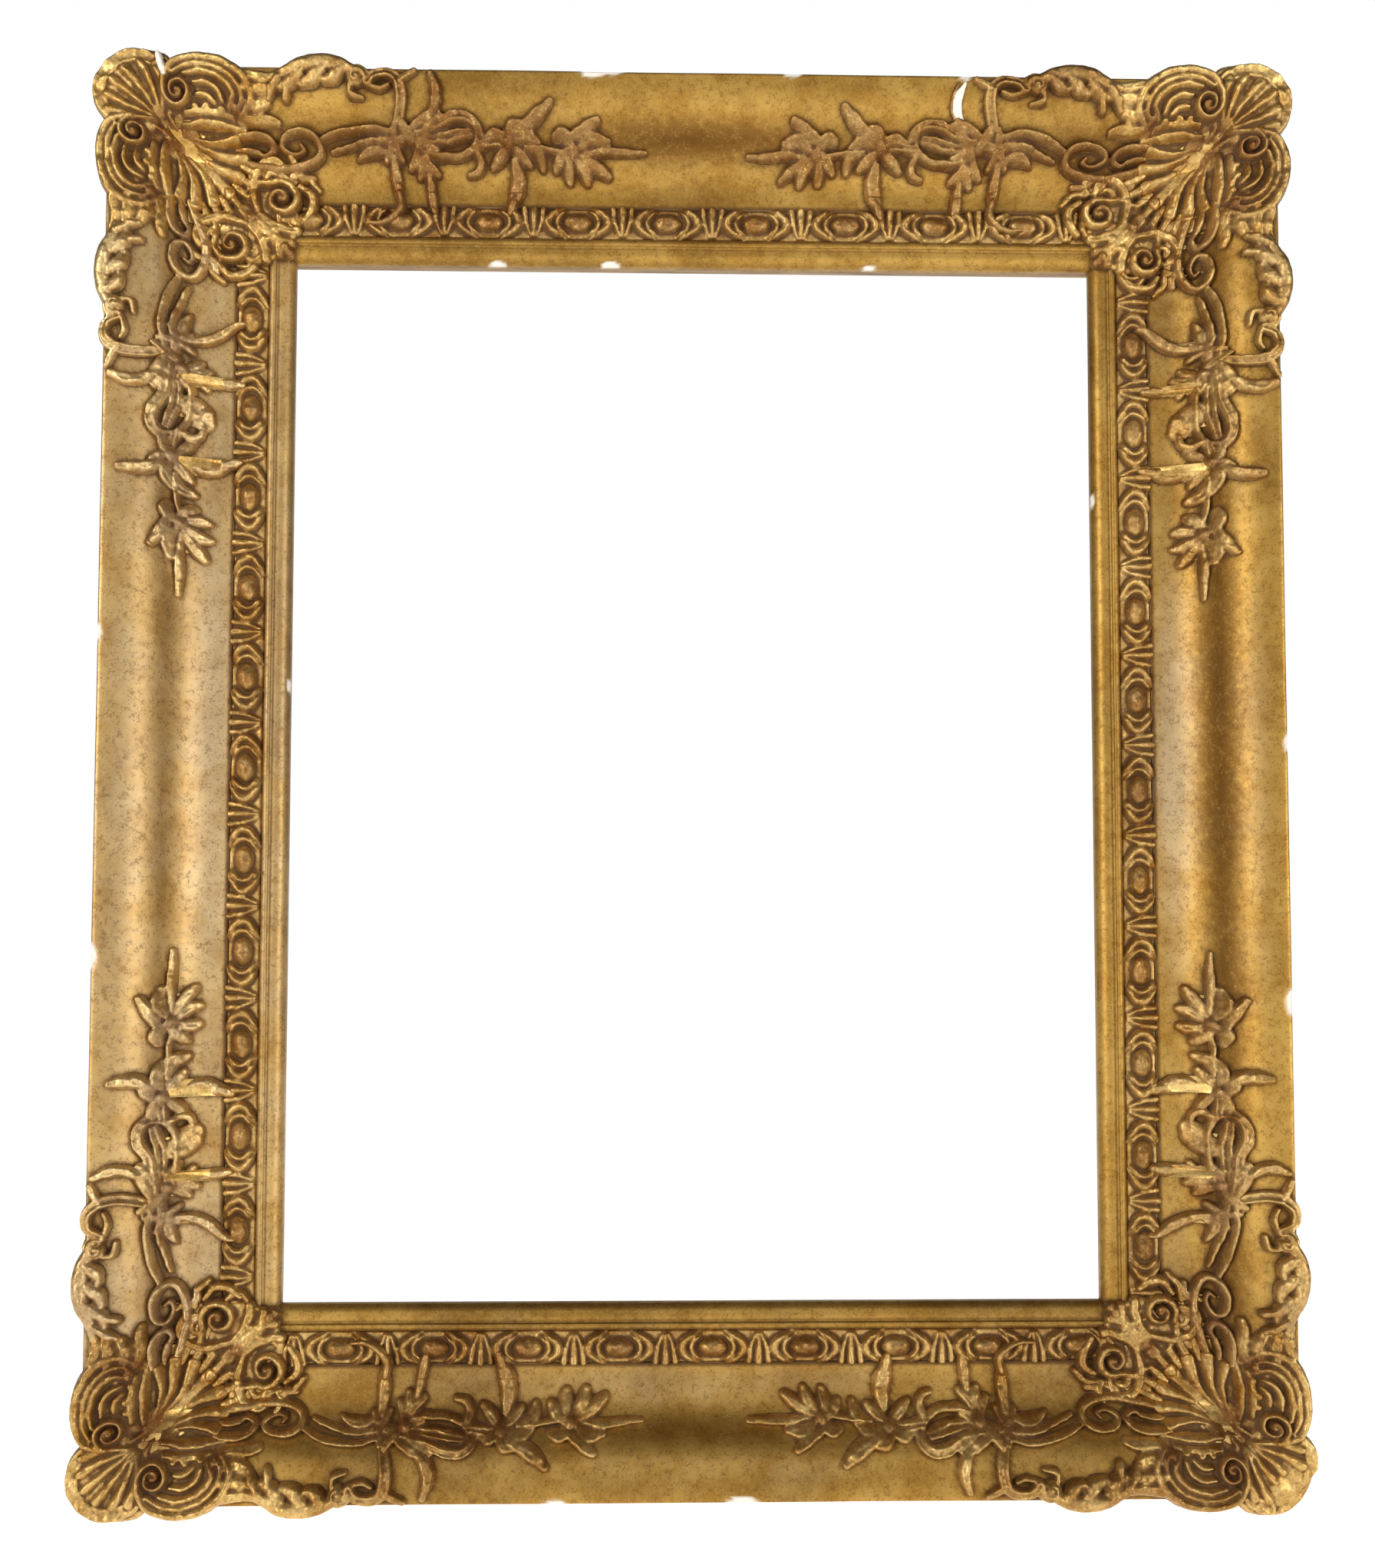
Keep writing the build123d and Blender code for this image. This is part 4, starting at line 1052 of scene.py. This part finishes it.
def zones(side, along, out):
    """Where a rail is painted brown, as clay and as a painted dark reflection on the steep part of the ogee,
    and where bands of pale dust and painted sheen lie along it.
    """
    half_run = SIDES[side][3]
    brown = hill(out, 58, 79, 95) * BROWN_AND_SHADE_SHARE[side]
    if side in ("top", "bottom"):
        brown = brown * (0.55 + 0.45 * hill(along, -half_run * 0.4, 0, half_run * 0.4))
    # The bands of painted sheen lie where light would catch the ogee's inner hollow and its crest
    dust_and_sheen = (0.35 * hill(out, 80, 98, 114) + 0.8 * hill(out, 30, 50, 74)) * DUST_AND_SHEEN_SHARE[side]
    dust_and_sheen = dust_and_sheen * np.clip(1.6 - np.abs(along) / 125, 0.25, 1) + PALE_AND_LIT_SHARE[side]
    return {"brown": brown, "dust_and_sheen": dust_and_sheen}


def soil_and_shade_line(out):
    """Dirt and painted shade in the corners beside the egg band and the quirk of the slip."""
    return hill(out, 34, 38, 42) * 0.8 + hill(out, 9.5, 11, 12.5) * 0.5


# Where the gesso has come away on each side: place along it, out from the sight edge, and size
CHIPS = {
    "top": (
        (-70, 116, 5), (-56, 117, 4), (64, 117, 4), (180, 116, 3),
        (-135, 0, 3.5), (-58, 0, 4), (120, 0, 3),
    ),
    "right": ((20, 117, 4), (-150, 116, 5), (190, 0, 3)),
    "bottom": ((30, 117, 6), (-90, 117, 4)),
    "left": ((90, 117, 4), (-120, 117, 5), (60, 0, 3)),
}
# How long the pieces are that a moulding is made of
MOULDING_STEP = 2.5


def chipped(side, along, out):
    """1 where gesso shows, 0 where the leaf is whole."""
    found = 0 * along
    for middle, level, size in CHIPS[side]:
        away = np.hypot((along - middle) / 1.6, (out - level) * 1.4) / size
        found = np.maximum(found, np.clip((1.1 - away) * 4, 0, 1))
    return found


def moulding(side, name, section, kinds, materials, replaced):
    """Runs a closed section of (out, height) places along a side, mitred at both ends."""
    section = np.array(section, float)
    half_run = SIDES[side][3]
    count = int(2 * half_run / MOULDING_STEP)
    share = np.linspace(-1, 1, count + 1)
    out = np.repeat(section[:, 0][None, :], count + 1, 0)
    height = np.repeat(section[:, 1][None, :], count + 1, 0)
    along = share[:, None] * (half_run + out)
    # The old faces are a little uneven
    draw = np.random.default_rng(len(name) + int(half_run))
    gilt = np.array(kinds) == 0
    for _ in range(4):
        a, b = draw.uniform(0.01, 0.05), draw.uniform(-0.1, 0.1)
        phase = draw.uniform(0, 6.28)
        height = height + gilt[None, :] * 0.12 * np.sin(a * along + b * out + phase)
    in_front = np.where(out < HOLLOW_OUT, height > LIP_HEIGHT - 2, height > CREST - EDGE - 2)
    chip = chipped(side, along, out) * gilt[None, :] * in_front
    points = on_side(side, along, out, height - 0.7 * chip)
    rows, columns = out.shape
    index = np.arange(rows * columns).reshape(rows, columns)
    ahead = np.roll(index, -1, 1)
    quads = np.stack([index[:-1], ahead[:-1], ahead[1:], index[1:]], -1).reshape(-1, 4)
    flat = points.reshape(-1, 3)
    # Dirt and painted shade beside the ornament and in the corners
    dirt_and_shade = np.clip(soil_and_shade.read(flat) * 1.5, 0, 1)
    dirt_and_shade = np.maximum(dirt_and_shade * 0.6, soil_and_shade_line(out.ravel()))
    marks = {"hollow": dirt_and_shade, "ridge": dirt_and_shade * 0, "chip": chip.ravel()}
    marks.update(zones(side, along.ravel(), out.ravel()))
    faces = quads.tolist() + [index[0].tolist(), index[-1].tolist()]
    kinds = np.concatenate([np.tile(kinds, rows - 1), [kinds[-1], kinds[-1]]])
    solid(name, flat, faces, materials, replaced, marks, kinds, smooth=kinds == 0)


face = [(u, float(face_height(u))) for u in np.linspace(FOOT_OUT, RAIL_WIDTH - 1.2, 46)]
nose = [(RAIL_WIDTH - 0.5, CREST - 0.35), (RAIL_WIDTH, CREST - 1.3), (RAIL_WIDTH, CREST - EDGE)]
base = RAIL_WIDTH - UNDERCUT
flank = []
for index in range(1, 13):
    angle = pi / 2 * (1 - index / 12)
    flank.append((base + UNDERCUT * (1 - cos(angle)), SIDE + (CREST - EDGE - SIDE) * sin(angle)))
back = [(base, 0), (LIP, 0), (LIP, REBATE), (SLIP_OUT, REBATE), (SLIP_OUT, BED), (FOOT_OUT, BED)]
rail_section = face + nose + flank + back
rail_kinds = [0] * (len(face) + len(nose) - 1) + [1] * (len(flank) + len(back) + 1)
# The slip's inner hollow bows out from the straight line between its ends
slip_section = []
for index in range(11):
    t = index / 10
    bow = 0.72 * t * (1 - t)
    rise = HOLLOW_HEIGHT - LIP_HEIGHT
    slip_section.append((HOLLOW_OUT * t - rise * bow, LIP_HEIGHT + rise * t + HOLLOW_OUT * bow))
slip_section += [(HOLLOW_OUT + QUIRK, HOLLOW_HEIGHT)]
slip_section += [(HOLLOW_OUT + QUIRK, SLIP_HEIGHT - 0.4), (HOLLOW_OUT + QUIRK + 0.4, SLIP_HEIGHT)]
slip_section += [(SLIP_OUT, SLIP_HEIGHT), (SLIP_OUT, REBATE), (0, REBATE)]
for side in SIDES:
    wood = bare_wood if side in ("top", "bottom") else upright_wood
    name, replaced = f"{side}_moulding", [f"{side}_rail"]
    moulding(side, name, rail_section, rail_kinds, [rail_gilt, wood], replaced)
    name, replaced = f"{side}_slip_moulding", [f"{side}_sight_slip"]
    moulding(side, name, slip_section, [0] * len(slip_section), [rail_gilt], replaced)

# Fittings at the back: places from the frame's middle, and sizes
HANGER_OUT, HANGER_UP, BARREL, WIRE = 308.5, 156.0, 3.3, 1.5
PLATE_LENGTH, PLATE_WIDTH, PLATE_THICKNESS = 46.0, 14.0, 1.5
BUTTON_OUT, BUTTON_UP, BUTTON_THICKNESS, BUTTON_GAP = 291.5, 236.0, 1.6, 0.2
SHANK_SIDES, WIRE_SIDES = 12, 14


def band(first, second, count):
    """Quads between two rings of points that start at these numbers."""
    pairs = [(k, (k + 1) % count) for k in range(count)]
    return [[first + a, first + b, second + b, second + a] for a, b in pairs]


def extruded(name, outlines, lay, start, end, material, replaced, body="frame"):
    """A plate with eased edges between two levels; the first outline is its edge, any others are holes."""
    ease = min(0.3, (end - start) / 4)
    levels = ((start, ease), (start + ease, 0), (end - ease, 0), (end, ease))
    points, faces, rims = [], [], {0: [], 3: []}
    for number, outline in enumerate(outlines):
        line = np.array(outline, float)
        run = np.roll(line, -1, 0) - np.roll(line, 1, 0)
        inward = np.stack([-run[:, 1], run[:, 0]], 1) / np.hypot(*run.T)[:, None]
        first, count = len(points), len(line)
        for level, (height, inset) in enumerate(levels):
            moved = line + inward * (inset if number == 0 else 0)
            points += [lay(a, b, height) for a, b in moved]
            if level in rims:
                rims[level].append([first + level * count + k for k in range(count)])
        for level in range(3):
            faces += band(first + level * count, first + (level + 1) * count, count)
    for loops in rims.values():
        numbers = [k for loop in loops for k in loop]
        order = {number: index for index, number in enumerate(numbers)}
        sides = [(order[a], order[b]) for loop in loops for a, b in zip(loop, loop[1:] + loop[:1])]
        cap = closing([points[k] for k in numbers], sides, use_beauty=True)
        faces += [[numbers[k] for k in face] for face in cap]
    solid(name, points, faces, [material], replaced, body=body, smooth=False)


def circle(radius, count, middle=(0, 0), start=0.0, sweep=360.0):
    """Places round a circle or along an arc of it, in degrees."""
    steps = count if sweep == 360 else count - 1
    return [polar(middle, radius, start + sweep * k / steps) for k in range(count)]


def screw(place, radius, rise, shank, length, stand, slant):
    """Points and faces of a domed screw with a slot, and its shank in the wood."""
    # Rows of the head's grid: how far across it, and 1 where it is sunk for the slot
    rows = [(-0.97, 0), (-0.85, 0), (-0.65, 0), (-0.45, 0), (-0.28, 0), (-0.15, 0), (-0.13, 1)]
    rows += [(-share, sunk) for share, sunk in rows[::-1]]
    share = np.array(rows)
    t = np.linspace(-1, 1, 15)[None, :] * np.sqrt(1 - share[:, :1] ** 2) * radius
    s = share[:, :1] * radius + 0 * t
    dome = rise * (0.3 + 0.7 * np.sqrt(np.clip(1 - (t**2 + s**2) / radius**2, 0, 1)))
    dome = np.where(share[:, 1:] > 0, np.minimum(dome, 0.4 * rise), dome)
    x = place[0] + t * cos(slant) - s * sin(slant)
    z = place[1] + t * sin(slant) + s * cos(slant)
    top = np.stack([x, stand + dome, z], -1)
    low = np.stack([x, stand + 0 * dome, z], -1)
    count = t.size
    index = np.arange(count).reshape(t.shape)
    quads = np.stack([index[:-1, :-1], index[1:, :-1], index[1:, 1:], index[:-1, 1:]], -1).reshape(-1, 4)
    rim = np.concatenate([index[0, :-1], index[:-1, -1], index[-1, :0:-1], index[:0:-1, 0]])
    ahead = np.roll(rim, -1)
    walls = np.stack([rim, ahead, ahead + count, rim + count], -1)
    points = np.concatenate([top.reshape(-1, 3), low.reshape(-1, 3)]).tolist()
    faces = quads.tolist() + (quads[:, ::-1] + count).tolist() + walls.tolist()
    first, second = len(points), len(points) + SHANK_SIDES
    ends = circle(shank, SHANK_SIDES, place)
    points += [(a, stand, b) for a, b in ends] + [(a, -length, b) for a, b in ends]
    faces += band(first, second, SHANK_SIDES)
    faces += [list(range(first, second)), list(range(second, second + SHANK_SIDES))]
    return points, faces


def screws(name, places, radius, rise, shank, length, stand):
    """A node's screws, each slot at its own angle."""
    points, faces = [], []
    draw = np.random.default_rng(len(name))
    for place in places:
        more, more_faces = screw(place, radius, rise, shank, length, stand, draw.uniform(0, pi))
        faces += [[k + len(points) for k in face] for face in more_faces]
        points += more
    solid(f"{name}_round", points, faces, [zinc], [name], smooth=False)


PLATE_END = HANGER_OUT + PLATE_LENGTH
hanger_screws = [(right * (PLATE_END - inset), HANGER_UP) for right in (-1, 1) for inset in (9.0, 29.0)]
button_screws = [(right * BUTTON_OUT, up * BUTTON_UP) for right in (-1, 1) for up in (-1, 1)]
screws("hanger_screws", hanger_screws, 3.6, 1.5, 1.9, 15.0, PLATE_THICKNESS)
screws("turn_button_screws", button_screws, 4.2, 2.0, 2.1, 18.0, BUTTON_THICKNESS + 2 * BUTTON_GAP)

# The strap's end rolls round the ring's straight bar
roll = [(u, v + BARREL) for u, v in circle(BARREL, 30, (0, 0), -33, 303)]
roll = [(PLATE_LENGTH - 1, 0), (PLATE_LENGTH, 1.2), (PLATE_LENGTH - 1, PLATE_THICKNESS)] + roll
for right, side in ((-1, "left"), (1, "right")):
    def on_back(out, height, along, right=right):
        return (right * (HANGER_OUT + out), height, along)

    replaced = ["hanger_plates"] if right == 1 else []
    bore = circle(WIRE + 0.1, 16, (0, BARREL))
    low, high = HANGER_UP - PLATE_WIDTH / 2, HANGER_UP + PLATE_WIDTH / 2
    extruded(f"{side}_strap", [roll, bore], on_back, low, high, zinc, replaced)
    # The ring: a D of round wire
    bend = [(0, 9), (0.9, 11.1), (3, 12)]
    bow = [(8 + 11 * cos(angle), 12 * sin(angle)) for angle in np.radians(np.linspace(90, -90, 25))]
    line = np.array(bend + bow + [(a, -b) for a, b in bend[::-1]])
    run = np.roll(line, -1, 0) - np.roll(line, 1, 0)
    outward = np.stack([run[:, 1], -run[:, 0]], 1) / np.hypot(*run.T)[:, None]
    points, faces = [], []
    for (a, b), (u, v) in zip(line, outward):
        for angle in np.linspace(0, 2 * pi, WIRE_SIDES, endpoint=False):
            c, d = WIRE * cos(angle), WIRE * sin(angle)
            points.append((right * (HANGER_OUT - a - u * c), BARREL + d, HANGER_UP + b + v * c))
    for k in range(len(line)):
        faces += band(k * WIRE_SIDES, (k + 1) % len(line) * WIRE_SIDES, WIRE_SIDES)
    replaced = [f"hanging_ring_{side}"]
    solid(f"ring_{side}_wire", points, faces, [zinc], replaced, body=f"ring_{side}")

pill = circle(6, 14, (0, -1), 180, 180) + circle(6, 14, (0, 32), 0, 180)
for up, level in ((1, "upper"), (-1, "lower")):
    for right, side in ((-1, "left"), (1, "right")):
        def on_rail(a, b, height, right=right, up=up):
            return (right * BUTTON_OUT + a, height, up * BUTTON_UP + b)

        name = f"{level}_{side}"
        outlines, replaced = [pill, circle(2.2, 16)], [f"turn_button_{name}"]
        top = BUTTON_GAP + BUTTON_THICKNESS
        extruded(f"{name}_button", outlines, on_rail, BUTTON_GAP, top, zinc, replaced, f"button_{name}")

# Wooden keys across the mitres, a shade proud of the sides
KEY_LEG, KEY_DEPTH, KEY_THICKNESS = 58.0, 12.0, 3.0
KEY_OUT = RAIL_WIDTH - UNDERCUT + 0.2
replaced = ["mitre_keys"]
for corner, (across, up) in CORNERS.items():
    def in_mitre(a, b, depth, across=across, up=up):
        return (across * (HALF_WIDTH + KEY_OUT - a), -depth, up * (HALF_HEIGHT + KEY_OUT - b))

    outlines, end = [[(0, 0), (KEY_LEG, 0), (0, KEY_LEG)]], KEY_DEPTH + KEY_THICKNESS
    extruded(f"{corner}_key", outlines, in_mitre, KEY_DEPTH, end, key_wood, replaced)
    replaced = []

# Studio
PHOTO_HEIGHT = 2044
FOCAL_PIXELS = 2600.0
SENSOR = 36.0


def turn(axis, degrees):
    return Matrix.Rotation(radians(degrees), 4, axis)


# The camera as the sight opening's four corners in the photograph give it
pose = Matrix.Translation((0.0046, 1.3454, 0.0054)) @ turn("Z", 1.66) @ turn("Y", 0.17) @ turn("X", -3.68)
pose = pose @ Matrix.Translation((0, 0.038, 0))
camera_data = bpy.data.cameras.new("camera")
camera = bpy.data.objects.new("camera", camera_data)
bpy.context.scene.collection.objects.link(camera)
camera_data.sensor_width = SENSOR
camera_data.lens = FOCAL_PIXELS / PHOTO_HEIGHT * SENSOR
camera.matrix_world = pose.inverted() @ turn("X", 90)
bpy.context.scene.camera = camera


def lamp(name, place, size, power):
    """A white window or softbox that faces the frame."""
    data = bpy.data.lights.new(name, "AREA")
    data.shape = "RECTANGLE"
    data.size, data.size_y = size
    data.energy = power
    made = bpy.data.objects.new(name, data)
    bpy.context.scene.collection.objects.link(made)
    made.location = place
    aim = -Vector(place)
    made.rotation_mode = "QUATERNION"
    made.rotation_quaternion = aim.to_track_quat("-Z", "Y")


lamp("left_window", (-1.8, -1.9, 0.5), (0.7, 1.2), 30)
lamp("right_window", (1.9, -1.8, 0.1), (0.7, 1.2), 20)
lamp("front_softbox", (0.3, -2.4, 1.6), (1.6, 0.9), 7)

# The room: white in front and behind, darker to the sides; the backdrop itself is plain white
world = bpy.data.worlds.new("studio")
bpy.context.scene.world = world
world.use_nodes = True


class Room(Paint):
    """The world's nodes."""

    def __init__(self, tree):
        self.tree = tree


room = Room(world.node_tree)
facing = room.node("ShaderNodeTexCoord", output=0)
ahead = room.node("ShaderNodeSeparateXYZ", None, [facing], output=1)
level = 0.06 + 0.27 * (0 - ahead).smooth(0.1, 0.95) + 0.45 * ahead.smooth(0.3, 1.0)
seen = room.node("ShaderNodeLightPath", output=0)
backdrop = world.node_tree.nodes["Background"]
backdrop.inputs["Color"].default_value = (1, 1, 1, 1)
room.feed(backdrop.inputs["Strength"], level * (1 - seen) + seen * 1.0)
bpy.context.scene.view_settings.view_transform = "Standard"

floor_paint = Paint("pale_floor")
floor_paint.set(Base_Color=(0.9, 0.9, 0.9), Roughness=0.9)
floor_paint.set(Emission_Color=(1, 1, 1, 1), Emission_Strength=0.9)
floor_mesh = bpy.data.meshes.new("floor")
floor_level = cad_low.z - 0.004
floor_corners = ((-8, -8), (8, -8), (8, 8), (-8, 8))
floor_mesh.from_pydata([(x, y, floor_level) for x, y in floor_corners], [], [(0, 1, 2, 3)])
floor_mesh.materials.append(floor_paint.material)
floor = bpy.data.objects.new("floor", floor_mesh)
bpy.context.scene.collection.objects.link(floor)
floor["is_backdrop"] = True

low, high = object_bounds()
